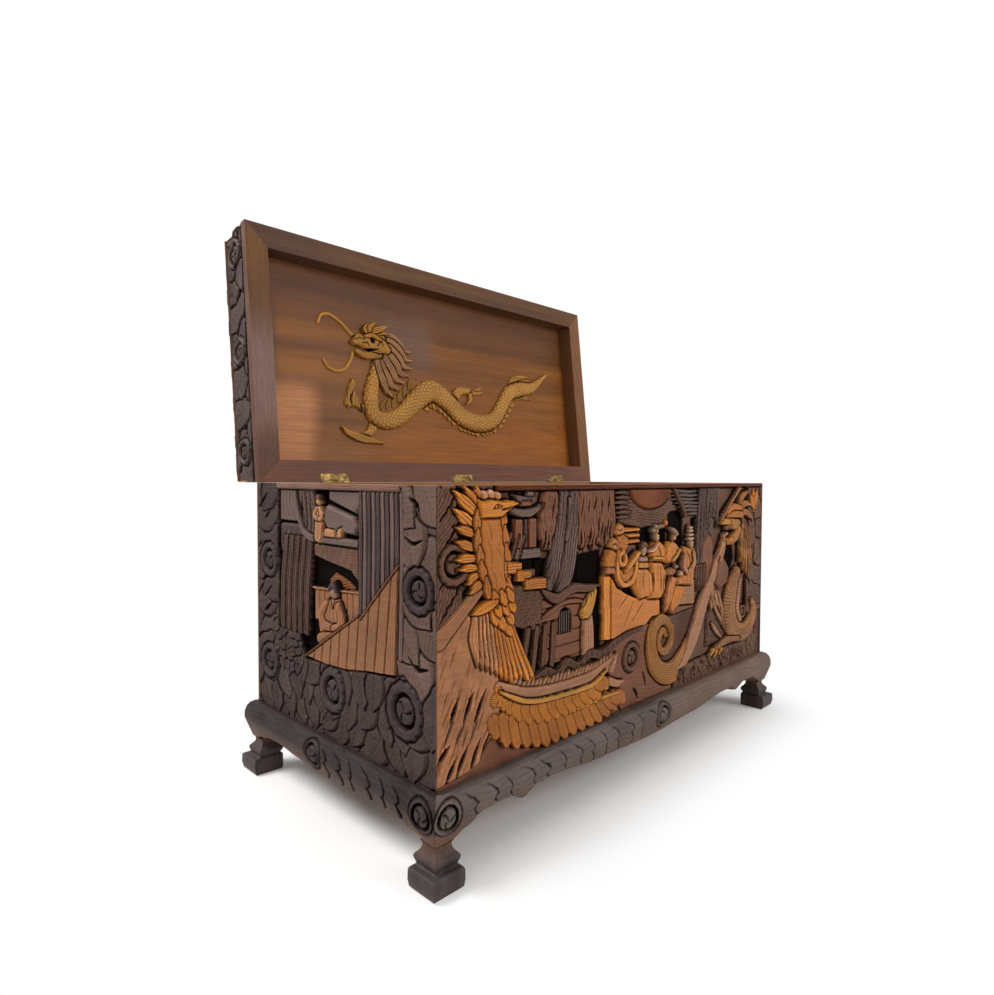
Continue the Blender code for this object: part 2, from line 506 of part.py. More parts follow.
def make_feet():
    rings = [(share * FOOT_HEIGHT, out, inside) for share, out, inside in FOOT_RINGS]
    for z in (FOOT_HEIGHT, FOOT_HEIGHT + TENON_LENGTH):
        rings.append((z, TENON_SIDE / 2 - TENON_CENTRE, TENON_SIDE / 2 + TENON_CENTRE))
    for name, sx, sy in CORNERS:
        corner = Vector((sx * BOX_LENGTH / 2, sy * BOX_DEPTH / 2, 0))
        squares = []
        for z, out, inside in rings:
            plan = ((out, out), (-inside, out), (-inside, -inside), (out, -inside))
            squares.append([corner + Vector((sx * a, sy * b, z)) for a, b in plan])
        bm = bmesh.new()
        add_skin(bm, squares)
        finish(f"foot_{name}", bm, DARK_WOOD)
        near = -APRON_INSET - GAP
        plan = ((near, near), (near - BLOCK_LEG, near), (near, near - BLOCK_LEG))
        bm = bmesh.new()
        add_skin(bm, [[corner + Vector((sx * a, sy * b, z)) for a, b in plan]
                      for z in (BASE_HEIGHT - BLOCK_HEIGHT, BASE_HEIGHT)])
        finish(f"corner_block_{name}", bm, INNER_WOOD)


# Lid, modelled closed

def bevel_rear(bm):
    """Slope the rear face so that it lies level on the rim of the open chest, and ease its lower edge."""
    trim(bm, AXIS, (0, math.cos(LID_LEAN), math.sin(LID_LEAN)))
    trim(bm, AXIS + Vector((0, -LID_EASE, 0)), (0, 1, -1))


def make_lid_frame():
    middle_y = AXIS.y - LID_DEPTH / 2
    upper_width = RAIL_WIDTH - PANEL_REBATE
    section = ((0, 0), (RAIL_WIDTH, 0), (RAIL_WIDTH, PANEL_RECESS), (upper_width, PANEL_RECESS),
               (upper_width, RAIL_DEPTH), (0, RAIL_DEPTH))
    rails = {}
    for name, turn in SIDES:
        long_side = turn % 180 == 0
        half_length = (LID_LENGTH if long_side else LID_DEPTH) / 2
        half_depth = (LID_DEPTH if long_side else LID_LENGTH) / 2
        bm = bmesh.new()
        add_skin(bm, [[(end * (half_length - inward - GAP), inward - half_depth, LID_BOTTOM + z)
                       for inward, z in section] for end in (-1, 1)])
        bm.transform(side_matrix(turn, middle_y))
        if name != "front":
            bevel_rear(bm)
        rails[name] = finish(f"lid_{name}_rail", bm, RAIL_WOOD, lid_pivot)
    return rails


def make_lid_boards():
    back = RAIL_WIDTH - PANEL_REBATE + GAP
    bm = bmesh.new()
    add_box(bm, (-LID_LENGTH / 2 + back, AXIS.y - LID_DEPTH + back, PANEL_FACE),
            (LID_LENGTH / 2 - back, AXIS.y - back, LID_BOTTOM + RAIL_DEPTH))
    finish("lid_inner_panel", bm, INNER_WOOD, lid_pivot)
    top = LID_BOTTOM + LID_THICKNESS
    bm = bmesh.new()
    add_box(bm, (-LID_LENGTH / 2, AXIS.y - LID_DEPTH + TOP_FRONT_INSET, LID_BOTTOM + RAIL_DEPTH + GAP),
            (LID_LENGTH / 2, AXIS.y, top))
    bevel_rear(bm)
    rounded = [e for e in bm.edges if all(abs(v.co.z - top) < GAP for v in e.verts)]
    bmesh.ops.bevel(bm, geom=rounded, offset=TOP_EDGE_RADIUS, offset_type="OFFSET",
                    segments=TOP_EDGE_SEGMENTS, profile=0.5, affect="EDGES")
    return finish("lid_top_board", bm, DARK_WOOD, lid_pivot)


# Relief on the front and on the lid

def front_spot(along, up, depth):
    """A point of the front face, at a depth below it."""
    height = WALL_BOTTOM + up * BOX_HEIGHT / RELIEF_HEIGHT
    return (along * BOX_LENGTH / RELIEF_LENGTH, depth - BOX_DEPTH / 2, height)


def end_spot(end):
    """Where points of the left (-1) or right (1) end lie, at a depth below its face."""
    def spot(along, up, depth):
        height = WALL_BOTTOM + up * BOX_HEIGHT / RELIEF_HEIGHT
        return (end * (BOX_LENGTH / 2 - depth), -along * BOX_DEPTH / RELIEF_DEPTH, height)
    return spot


def top_spot(along, away, depth):
    """A point of the closed lid's top, at a depth below it."""
    forward = AXIS.y - away * LID_DEPTH / RELIEF_LID
    return (along * LID_LENGTH / RELIEF_LENGTH, forward, LID_BOTTOM + LID_THICKNESS - depth)


def add_form(bm, spot, outline, start, end):
    add_skin(bm, [[spot(a, b, depth) for a, b in outline] for depth in (start, end)])


def rectangle(left, right, low, high):
    return ((left, low), (right, low), (right, high), (left, high))


def add_strip(bm, spot, knots, depth):
    """A ridge with sloping sides that follows a path."""
    stations = smooth_path(knots, RELIEF_STATIONS_PER_SPAN)
    section = ((-1, RELIEF_FOOT), (-1, RELIEF_GROUND), (-RELIEF_CROWN, depth),
               (RELIEF_CROWN, depth), (1, RELIEF_GROUND), (1, RELIEF_FOOT))
    rings = []
    for i, (along, up, half) in enumerate(stations):
        ahead = stations[min(i + 1, len(stations) - 1)] - stations[max(i - 1, 0)]
        side = Vector((-ahead.y, ahead.x)).normalized()
        rings.append([spot(along + side.x * half * share, up + side.y * half * share, below)
                      for share, below in section])
    add_skin(bm, rings)


def carve(board, name, spot, forms, parent=None):
    """Put the raised forms back on a sunk ground."""
    for i, (depth, knots) in enumerate(forms):
        bm = bmesh.new()
        if len(knots[0]) == 3:
            add_strip(bm, spot, knots, depth)
        else:
            add_form(bm, spot, knots, RELIEF_FOOT, depth)
        combine(board, tool(f"{name}_form_{i}", bm, parent), "UNION", "MANIFOLD")


def carve_front(panel):
    reach = RELIEF_LENGTH / 2 - RELIEF_END
    bm = bmesh.new()
    add_form(bm, front_spot, rectangle(-reach, reach, RELIEF_LOW, RELIEF_HIGH), -OVERCUT, RELIEF_GROUND)
    combine(panel, tool("front_ground", bm), solver="MANIFOLD")
    bm = bmesh.new()
    for pocket in FRONT_POCKETS:
        add_form(bm, front_spot, rectangle(*pocket), 0, RELIEF_POCKET)
    combine(panel, tool("front_pockets", bm), solver="MANIFOLD")
    carve(panel, "front", front_spot, FRONT_FORMS)


def carve_end(panel, name, end):
    spot = end_spot(end)
    bm = bmesh.new()
    add_form(bm, spot, END_FIELD, -OVERCUT, RELIEF_POCKET)
    combine(panel, tool(f"{name}_field", bm), solver="MANIFOLD")
    carve(panel, name, spot, END_FORMS)


def carve_top(board):
    bm = bmesh.new()
    add_form(bm, top_spot, rectangle(*TOP_FIELD), -OVERCUT, RELIEF_GROUND)
    combine(board, tool("top_field", bm, lid_pivot), solver="MANIFOLD")
    carve(board, "top", top_spot, TOP_FORMS, lid_pivot)


# Dragon carving

def limb(knots):
    """A low rounded ridge along a path on the lid panel, as high as its width allows."""
    stations = smooth_path(knots, DRAGON_STATIONS_PER_SPAN)
    angles = [math.pi * i / (DRAGON_ARC - 1) for i in range(DRAGON_ARC)]
    rings = []
    for i, (along, away, half) in enumerate(stations):
        ahead = stations[min(i + 1, len(stations) - 1)] - stations[max(i - 1, 0)]
        side = Vector((-ahead.y, ahead.x)).normalized()
        height = min(DRAGON_HEIGHT, half)
        ring = []
        for a in angles:
            x = along + side.x * half * math.cos(a)
            y = AXIS.y - away - side.y * half * math.cos(a)
            ring.append((x, y, PANEL_FACE - GAP - height * math.sin(a)))
        rings.append(ring)
    bm = bmesh.new()
    add_skin(bm, rings)
    return bm


def make_dragon():
    body = finish("lid_dragon_carving", limb(DRAGON_BODY), GOLD_WOOD, lid_pivot)
    others = (DRAGON_HEAD, DRAGON_JAW, DRAGON_NAPE, DRAGON_CREST, *DRAGON_MANE, *DRAGON_WHISKERS,
              *DRAGON_LEGS, *DRAGON_TAIL)
    for i, knots in enumerate(others):
        combine(body, tool(f"dragon_limb_{i}", limb(knots), lid_pivot), "UNION")


# Hinges

def knuckle_spans(owner):
    """Ends along X, from the hinge's middle, of the knuckles of the box leaf (0) or the lid leaf (1)."""
    pitch = HINGE_LENGTH / KNUCKLE_COUNT
    starts = [-HINGE_LENGTH / 2 + pitch * i for i in range(owner, KNUCKLE_COUNT, 2)]
    return [(start + GAP / 2, start + pitch - GAP / 2) for start in starts]


def evaluated_mesh(name, made, extras):
    """Mesh of an object with its modifiers applied; the object and its tools are then removed."""
    graph = bpy.context.evaluated_depsgraph_get()
    mesh = bpy.data.meshes.new_from_object(made.evaluated_get(graph))
    mesh.name = name
    for old in (made, *extras):
        bpy.data.objects.remove(old)
    return mesh


def leaf_mesh(name, owner, low, high):
    """A leaf and its knuckles round x = 0 and the hinge axis, between two heights, with its screw holes."""
    notch = -KNUCKLE_RADIUS - GAP
    bm = bmesh.new()
    add_box(bm, (-HINGE_LENGTH / 2, -LEAF_WIDTH, low), (HINGE_LENGTH / 2, notch, high))
    plate = finish("leaf_plate", bm, BRASS)
    extras = []
    for start, end in knuckle_spans(owner):
        bm = bmesh.new()
        add_box(bm, (start, notch - OVERCUT, low), (end, 0, high))
        extras.append(tool("leaf_tab", bm))
        combine(plate, extras[-1], "UNION", "MANIFOLD")
        bm = bmesh.new()
        add_rod(bm, (0, 0), KNUCKLE_RADIUS, start, end)
        extras.append(tool("leaf_knuckle", bm))
        combine(plate, extras[-1], "UNION", "MANIFOLD")
    bm = bmesh.new()
    add_rod(bm, (0, 0), BORE_RADIUS, -HINGE_LENGTH / 2 - OVERCUT, HINGE_LENGTH / 2 + OVERCUT)
    extras.append(tool("leaf_bore", bm))
    combine(plate, extras[-1], solver="MANIFOLD")
    face, up = (high, 1) if owner == 0 else (low, -1)
    bm = bmesh.new()
    for x in SCREW_PLACES:
        add_turned(bm, screw_profile(GAP, OVERCUT), SCREW_SIDES, (x, -SCREW_INSET, face), up)
    extras.append(tool("leaf_holes", bm))
    combine(plate, extras[-1], solver="MANIFOLD")
    return evaluated_mesh(name, plate, extras)


def screw_profile(clearance=0.0, above=0.0):
    """Countersunk screw from its tip up, or with a clearance the hole for it; its head ends at z = 0."""
    shank = SCREW_SHANK_RADIUS + clearance
    head = SCREW_HEAD_RADIUS + clearance
    neck = -SCREW_HEAD_DEPTH - clearance
    profile = [(shank, -SCREW_LENGTH - clearance), (shank, neck), (head, -clearance)]
    return profile + [(head, above)] if above else profile


def screw_mesh():
    bm = bmesh.new()
    add_turned(bm, screw_profile(), SCREW_SIDES)
    screw = finish("screw", bm, BRASS)
    bm = bmesh.new()
    add_box(bm, (-SCREW_HEAD_RADIUS - OVERCUT, -SCREW_SLOT_WIDTH / 2, -SCREW_SLOT_DEPTH),
            (SCREW_HEAD_RADIUS + OVERCUT, SCREW_SLOT_WIDTH / 2, OVERCUT))
    slot = tool("screw_slot", bm)
    combine(screw, slot)
    return evaluated_mesh("hinge_screw", screw, [slot])


def make_hinge_cuts(name, wood, leaf_low, leaf_high, parent):
    """Let the leaves into the wood, with grooves for the knuckles and pilot holes for the screws."""
    recesses = bmesh.new()
    grooves = bmesh.new()
    pilots = bmesh.new()
    reach = HINGE_LENGTH / 2 + GAP
    up = 1 if parent is None else -1
    pilot = [(SCREW_SHANK_RADIUS + GAP, z) for z in (-SCREW_LENGTH - OVERCUT, 0)]
    for _, x in HINGE_PLACES:
        add_box(recesses, (x - reach, AXIS.y - LEAF_WIDTH - GAP, leaf_low), (x + reach, AXIS.y, leaf_high))
        add_rod(grooves, AXIS.yz, GROOVE_RADIUS, x - reach, x + reach)
        for dx in SCREW_PLACES:
            add_turned(pilots, pilot, SCREW_SIDES, (x + dx, AXIS.y - SCREW_INSET, AXIS.z), up)
    for kind, cut in (("recesses", recesses), ("grooves", grooves), ("pilots", pilots)):
        combine(wood, tool(f"{name}_{kind}", cut, parent))


def make_hinges(back_panel, lid_rear_rail):
    box_low, box_high = BOX_LEAF_TOP - LEAF_THICKNESS, BOX_LEAF_TOP
    lid_low, lid_high = LID_LEAF_BOTTOM, LID_LEAF_BOTTOM + LEAF_THICKNESS
    make_hinge_cuts("rim", back_panel, box_low - GAP, RIM + OVERCUT, None)
    make_hinge_cuts("lid", lid_rear_rail, LID_BOTTOM - OVERCUT, lid_high + GAP, lid_pivot)
    box_leaf = leaf_mesh("hinge_box_leaf", 0, box_low - AXIS.z, box_high - AXIS.z)
    lid_leaf = leaf_mesh("hinge_lid_leaf", 1, lid_low - AXIS.z, lid_high - AXIS.z)
    screw = screw_mesh()
    upside_down = Matrix.Rotation(math.pi, 4, "X")
    for name, x in HINGE_PLACES:
        at_axis = Matrix.Translation(AXIS + Vector((x, 0, 0)))
        place(f"hinge_box_leaf_{name}", box_leaf, matrix=at_axis)
        place(f"hinge_lid_leaf_{name}", lid_leaf, parent=lid_pivot, matrix=at_axis)
        bm = bmesh.new()
        add_rod(bm, AXIS.yz, PIN_RADIUS, x - HINGE_LENGTH / 2, x + HINGE_LENGTH / 2)
        finish(f"hinge_pin_{name}", bm, BRASS)
        for i, dx in enumerate(SCREW_PLACES, 1):
            spot = Vector((x + dx, AXIS.y - SCREW_INSET, 0))
            down = Matrix.Translation(spot + Vector((0, 0, BOX_LEAF_TOP)))
            up = Matrix.Translation(spot + Vector((0, 0, LID_LEAF_BOTTOM))) @ upside_down
            place(f"box_screw_{name}_{i}", screw, matrix=down)
            place(f"lid_screw_{name}_{i}", screw, parent=lid_pivot, matrix=up)


def centre_on_origin():
    """Move the chest so that the middle of its footprint, with the lid open, is at the origin."""
    bpy.context.view_layer.update()
    graph = bpy.context.evaluated_depsgraph_get()
    depths = []
    for made in bpy.context.scene.objects:
        if made.type == "MESH" and not made.hide_render:
            solid = made.evaluated_get(graph)
            depths += [(solid.matrix_world @ vertex.co).y for vertex in solid.data.vertices]
    shift = -(min(depths) + max(depths)) / 2
    for made in bpy.context.scene.objects:
        if made.parent is None:
            made.location.y += shift


for old in list(bpy.data.objects):
    bpy.data.objects.remove(old)

CARVED_WOOD = material("carved brown wood", (0.23, 0.12, 0.06), 0.55)
DARK_WOOD = material("dark stained wood", (0.055, 0.042, 0.038), 0.6)
GOLD_WOOD = material("golden carved wood", (0.45, 0.22, 0.06), 0.5)
RAIL_WOOD = material("lid rail wood", (0.17, 0.09, 0.055), 0.5)
INNER_WOOD = material("bare inner wood", (0.28, 0.13, 0.05), 0.55)
BRASS = material("brass", (0.72, 0.55, 0.27), 0.35, 1.0)

lid_pivot = bpy.data.objects.new("lid_pivot", None)
bpy.context.collection.objects.link(lid_pivot)
lid_pivot.location = AXIS

panels = make_walls()
make_bottom()
make_aprons()
make_feet()
lid_rails = make_lid_frame()
carve_front(panels["front"])
carve_end(panels["left"], "left", -1)
carve_end(panels["right"], "right", 1)
carve_top(make_lid_boards())
make_dragon()
make_hinges(panels["back"], lid_rails["rear"])
lid_pivot.rotation_euler.x = -math.radians(LID_OPEN_DEG)
centre_on_origin()
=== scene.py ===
"""A carved wooden chest standing open: relief carving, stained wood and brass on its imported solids.

Carvings are worked in millimetres on a fine grid, as heights above or below the face of their board.
"""

import json
import math
from functools import partial

import bpy
import numpy as np
from mathutils import Matrix, Vector


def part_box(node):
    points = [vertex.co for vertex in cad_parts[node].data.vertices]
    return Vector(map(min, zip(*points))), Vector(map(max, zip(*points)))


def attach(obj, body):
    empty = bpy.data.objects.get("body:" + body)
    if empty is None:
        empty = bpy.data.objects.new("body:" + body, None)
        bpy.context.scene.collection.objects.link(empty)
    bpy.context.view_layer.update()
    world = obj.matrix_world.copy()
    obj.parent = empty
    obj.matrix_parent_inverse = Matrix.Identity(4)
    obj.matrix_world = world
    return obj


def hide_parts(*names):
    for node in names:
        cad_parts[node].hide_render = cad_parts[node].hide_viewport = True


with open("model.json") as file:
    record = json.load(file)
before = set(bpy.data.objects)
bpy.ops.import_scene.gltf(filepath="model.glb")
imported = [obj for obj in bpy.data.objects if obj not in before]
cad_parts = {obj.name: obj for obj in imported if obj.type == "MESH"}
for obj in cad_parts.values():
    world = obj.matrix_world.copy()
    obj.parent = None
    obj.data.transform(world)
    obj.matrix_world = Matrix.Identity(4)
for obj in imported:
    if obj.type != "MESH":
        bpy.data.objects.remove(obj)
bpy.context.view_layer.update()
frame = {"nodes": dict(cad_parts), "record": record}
bpy.ops.object.select_all(action="DESELECT")

# Places of the chest, in metres
front_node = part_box("front_panel")
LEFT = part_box("left_end_panel")[0][0]
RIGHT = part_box("right_end_panel")[1][0]
FRONT = front_node[0][1]
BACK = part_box("back_panel")[1][1]
BASE = front_node[0][2]
RIM = front_node[1][2]
MIDDLE = (FRONT + BACK) / 2
HALF_LENGTH = (RIGHT - LEFT) / 2 * 1000
HALF_DEPTH = (BACK - FRONT) / 2 * 1000
WALL_HEIGHT = (RIM - BASE) * 1000
WALL = 36.0

# The open lid: its hinge axis, the way up its face and the way through its thickness
lid_joint = frame["record"]["behaviour"]["joints"][0]
HINGE = np.array(lid_joint["pos_m"])
LEAN = math.radians(lid_joint["range_deg"][1] - 90)
LID_UP = np.array((0, math.sin(LEAN), math.cos(LEAN)))
LID_THROUGH = np.array((0, math.cos(LEAN), -math.sin(LEAN)))
LID_HEIGHT = 514.0
LID_DEPTH = 106.0
RAIL_WIDTH = 45.0
RAIL_DEPTH = 58.0
BAND_DEPTH = 93.0
PANEL_FACE = 40.9
TOP_SETBACK = 10
FIT = 0.3

# The bulging base: drop below the base top and bulge beyond the box face, then the wavy lower edges
APRON_BULGE = ((0, 6), (3, 12), (10, 17), (21, 20), (32, 20), (45, 16), (67, 9))
LONG_WAVE = ((0, 61), (0.30, 54), (0.55, 40), (0.62, 41), (0.675, 55), (0.735, 40), (0.825, 41),
             (0.895, 55), (0.945, 66), (1, 67))
SHORT_WAVE = ((0, 60), (0.35, 54), (0.55, 49), (0.70, 50), (0.80, 58), (0.87, 60), (0.915, 66), (1, 67))
APRON_INSET = 30.0

# Stains of the carving, and the near-black of painted shade
DARK = "#3f302d"
SLATE = "#5a453e"
UMBER = "#573828"
RUSSET = "#6d412a"
PINK = "#9b6b4b"
ROSE = "#9c6c4d"
GOLD = "#aa6526"
AMBER = "#b56d24"
STRAW = "#ad7730"
OCHRE = "#8c5a38"
BRASSY = "#b07c36"
BREAST = "#96623f"
APRON = "#574a44"
SUN = "#622e00"
SKIN = "#946840"
# Painted shade: near-black laid in deep holes, sunk grounds, cuts, open mouths and eye pupils, where shade
# falls
SHADE_BLACK = "#0f0a08"

# Share of the light that a cut takes away, and fine lines too faint to show
CUT_SHADE = 0.86
UNCUT = ("along", 4, 0)

# Lobes of a roundel, and the angles past which an edge stays sharp
LOBES = 13
BOARD_CREASE = math.radians(42)
DRAGON_CREASE = math.radians(70)


def linear(text):
    """An sRGB hex colour as linear numbers."""
    parts = [int(text[i:i + 2], 16) / 255 for i in (1, 3, 5)]
    return np.array([p / 12.92 if p <= 0.04045 else ((p + 0.055) / 1.055) ** 2.4 for p in parts])


# Carving on a grid

def smooth(path):
    """Points about 4 mm apart on a smooth curve through knots of place and half width."""
    knots = np.array(path, float)
    ends = np.vstack([2 * knots[0] - knots[1], knots, 2 * knots[-1] - knots[-2]])
    points = []
    for before, start, end, after in zip(ends, ends[1:], ends[2:], ends[3:]):
        count = max(2, int(np.hypot(*(end - start)[:2]) / 4))
        for t in np.arange(count) / count:
            points.append(0.5 * (2 * start + (end - before) * t + (2 * before - 5 * start + 4 * end - after)
                                 * t ** 2 + (3 * start - before - 3 * end + after) * t ** 3))
    points = np.array(points + [knots[-1]])
    points[:, 2] = np.maximum(points[:, 2], 0.4)
    return points


def blurred(field, reach):
    """The mean over a square that reaches that many grid points each way."""
    for axis in (0, 1):
        room = [(0, 0), (0, 0)]
        room[axis] = (reach + 1, reach)
        sums = np.cumsum(np.pad(field, room, mode="edge"), axis=axis)
        count = field.shape[axis]
        width = 2 * reach + 1
        upto = np.take(sums, np.arange(width, width + count), axis=axis)
        field = (upto - np.take(sums, np.arange(count), axis=axis)) / width
    return field


CROWNS = {
    "round": lambda side: np.sqrt(1 - side ** 4),
    "barrel": lambda side: np.sqrt(1 - side ** 2),
    "keel": lambda side: 1 - 0.75 * side,
    "flat": lambda side: np.minimum(1, 6 * (1 - side)),
    "dish": lambda side: 0.45 + 0.55 * np.minimum(1, 4 * (1 - side)) * side ** 2,
    "leaf": lambda side: np.minimum(1, 5 * (1 - side)) * (0.76 + 0.24 * side),
}


def flutes(count, depth):
    """Grooves that run along a strip."""
    return lambda along, across, side: depth * (np.cos(math.pi * count * side * np.sign(across)) - 1) / 2


def strands(pitch, depth):
    """Fine grooves along a strip, at a pitch."""
    return lambda along, across, side: depth * (np.cos(2 * math.pi * across / pitch) - 1) / 2


def barbs(pitch, slant, depth):
    """Slanting cuts on both sides of a rib, as on a feather or a leaf."""
    return lambda along, across, side: (
        depth * (np.cos(2 * math.pi * (along - slant * np.abs(across)) / pitch) - 1) / 2
        - 1.3 * depth * np.exp(-(across / 1.4) ** 2))


def vane(tilt):
    """A feather that lies on its neighbour: one edge raised, with a fine quill."""
    return lambda along, across, side: 1.1 * np.exp(-(across / 1.3) ** 2) - tilt * across


def rings(pitch, depth):
    """Ridges across a strip, each with a sharp edge."""
    return lambda along, across, side: depth * ((along + 0.12 * across ** 2 / pitch) / pitch % 1 - 0.5)


def scales(pitch, depth):
    """Overlapping scales in staggered rows."""
    def detail(along, across, side):
        row = np.floor(along / pitch)
        column = across / pitch + 0.5 * (row % 2)
        inward = np.abs(np.abs(column - np.floor(column) - 0.5) * 2)
        rise = along / pitch - row
        return depth * (np.sqrt(1 - 0.85 * inward ** 2) * (0.35 + 0.65 * rise) - 0.5)
    return detail


def scale_net(pitch):
    """Painted shade and highlight on scales: pale middles, dark edges, and darker towards the sides of the
    strip.
    """
    def tone(along, across, side):
        row = np.floor(along / pitch)
        place = along / pitch - row
        column = across / pitch + 0.5 * (row % 2)
        off = np.abs(column - np.floor(column) - 0.5) * 2
        edge = np.abs(place - 1 + 0.8 * (1 - off) ** 2)
        return 1.25 - 1.0 * np.exp(-(edge / 0.2) ** 2) - 0.35 * side ** 4
    return tone


def line_net(pitch, dark):
    """Painted shade in fine cuts that run along a strip, the wood between them a little lighter."""
    def tone(along, across, side):
        off = np.abs((across / pitch + 0.5) % 1 - 0.5) * pitch
        return 1.12 - dark * np.exp(-((0.5 * pitch - off) / 0.8) ** 2)
    return tone


def lumps_along(pitch, depth):
    """A knobbly ridge."""
    return lambda along, across, side: depth * np.sin(math.tau * along / pitch) * (1 - side)


def boards(turn, pitch, depth, width=2.2):
    """Straight grooves between boards, square to a direction in degrees."""
    c, s = math.cos(math.radians(turn)), math.sin(math.radians(turn))

    def detail(u, v):
        off = np.abs(((u * c + v * s) / pitch + 0.5) % 1 - 0.5) * pitch
        return -depth * np.exp(-(off / (width / 2)) ** 2)
    return detail


def lumps(size, depth, seed):
    """Uneven rock or bark."""
    rng = np.random.default_rng(seed)
    waves = [(rng.uniform(0.5, 1.6) / size, rng.uniform(0, math.tau), rng.uniform(0, math.tau))
             for _ in range(7)]

    def detail(u, v):
        total = 0
        for pace, turn, phase in waves:
            total = total + np.cos(math.tau * pace * (u * math.cos(turn) + v * math.sin(turn)) + phase)
        return depth * total / 7
    return detail


class Carving:
    """The face of a board under the chisel: a height and a colour at each point of a grid. The colour is the
    stain, with painted shade laid into grooves and cuts.
    """

    def __init__(self, u, v, ground, stain_and_shade):
        self.u = u
        self.v = v
        self.height = np.full(u.shape, float(ground))
        self.stain_and_shade = np.empty(u.shape + (3,))
        self.stain_and_shade[:] = linear(stain_and_shade)
        self.cuts = np.zeros(u.shape + (2,))

    def area(self, low_u, high_u, low_v, high_v):
        near = (self.u > low_u) & (self.u < high_u) & (self.v > low_v) & (self.v < high_v)
        rows = np.flatnonzero(near.any(axis=1))
        columns = np.flatnonzero(near.any(axis=0))
        if not len(rows):
            return np.s_[0:0, 0:0]
        return np.s_[rows[0]:rows[-1] + 1, columns[0]:columns[-1] + 1]

    def lay(self, area, inside, height, stain_and_shade, shade=1.0, gap=None, groove=0.0, lines=None):
        """Puts a form on the board, with a groove round it darkened with painted shade, and a number for the
        fine lines cut in it.
        """
        if groove:
            near = np.where(inside, 0, np.clip(1.3 - gap / groove, 0, 1))
            self.height[area] -= near * (1.4 + 0.8 * groove)
            self.stain_and_shade[area] *= (1 - CUT_SHADE * near)[..., None]
        self.height[area] = np.where(inside, height, self.height[area])
        if stain_and_shade:
            self.stain_and_shade[area] = np.where(inside[..., None], linear(stain_and_shade) * shade, self.stain_and_shade[area])
        if lines:
            phase, strength = lines
            self.cuts[area] = np.where(inside[..., None],
                                       np.stack([phase, np.full(phase.shape, strength)], axis=-1),
                                       self.cuts[area])

    def strip(self, path):
        knots = smooth(path)
        widest = knots[:, 2].max() + 4
        low = knots[:, :2].min(axis=0) - widest
        high = knots[:, :2].max(axis=0) + widest
        area = self.area(low[0], high[0], low[1], high[1])
        u, v = self.u[area], self.v[area]
        steps = np.diff(knots[:, :2], axis=0)
        run = np.append(0, np.cumsum(np.hypot(steps[:, 0], steps[:, 1])))
        heading = np.gradient(knots[:, :2], axis=0)
        heading /= np.hypot(heading[:, 0], heading[:, 1])[:, None] + 1e-9
        near = np.argmin((u[..., None] - knots[:, 0]) ** 2 + (v[..., None] - knots[:, 1]) ** 2, axis=-1)
        du, dv = u - knots[near, 0], v - knots[near, 1]
        along = run[near] + du * heading[near, 0] + dv * heading[near, 1]
        across = dv * heading[near, 0] - du * heading[near, 1]
        over = np.maximum(np.maximum(-along, along - run[-1]), 0)
        half = np.interp(along, run, knots[:, 2])
        side = np.hypot(across, over) / half
        gap = np.hypot(across, over) - half
        return area, side < 1, np.clip(along, 0, run[-1]), across, np.minimum(side, 1), run[-1], gap

    def ridge(self, path, low, rise, stain_and_shade, crown="round", detail=None, shade=1.0,
              lines=("along", 3.0, 0.6), groove=None):
        """A raised strip. A pair of lows is its foot at the start and at the end. Lines are fine cuts along
        or across it, or slanting from its middle as barbs, at a pitch, with a strength."""
        area, inside, along, across, side, length, gap = self.strip(path)
        foot = low if np.isscalar(low) else low[0] + (low[1] - low[0]) * along / length
        height = foot + rise * CROWNS[crown](side)
        if detail:
            height = height + detail(along, across, side)
        if callable(shade):
            shade = shade(along, across, side)[..., None]
        way, pitch, strength = lines
        phase = {"along": across, "across": along, "barbs": along - 1.1 * np.abs(across)}[way] / pitch
        if groove is None:
            groove = min(2.2, 0.4 * max(knot[2] for knot in path))
        self.lay(area, inside, height, stain_and_shade, shade, gap, groove, (phase, strength))

    def gouge(self, path, depth, stain_and_shade=None):
        """A cut into what is there."""
        area, inside, _, _, side, _, _ = self.strip(path)
        self.lay(area, inside, self.height[area] - depth * np.sqrt(1 - side ** 2), stain_and_shade)

    def nick(self, ends, depth, stain_and_shade, *cuts):
        """Short cuts through three points each, with a half width in the middle."""
        for au, av, mu, mv, half, bu, bv in cuts:
            self.gouge([(au, av, ends), (mu, mv, half), (bu, bv, ends)], depth, stain_and_shade)

    def within(self, outline):
        """Which points lie in an outline, and how far each is from its edge."""
        points = np.array(outline, float)
        low_u, low_v = points.min(axis=0) - 4
        high_u, high_v = points.max(axis=0) + 4
        area = self.area(low_u, high_u, low_v, high_v)
        u, v = self.u[area], self.v[area]
        inside = np.zeros(u.shape, bool)
        margin = np.full(u.shape, np.inf)
        for (au, av), (bu, bv) in zip(points, np.roll(points, -1, axis=0)):
            at = au + (v - av) * (bu - au) / (bv - av + 1e-9)
            inside ^= ((av > v) != (bv > v)) & (u < at)
            share = ((u - au) * (bu - au) + (v - av) * (bv - av)) / ((bu - au) ** 2 + (bv - av) ** 2 + 1e-9)
            share = np.clip(share, 0, 1)
            margin = np.minimum(margin, np.hypot(u - au - share * (bu - au), v - av - share * (bv - av)))
        return area, u, v, inside, margin

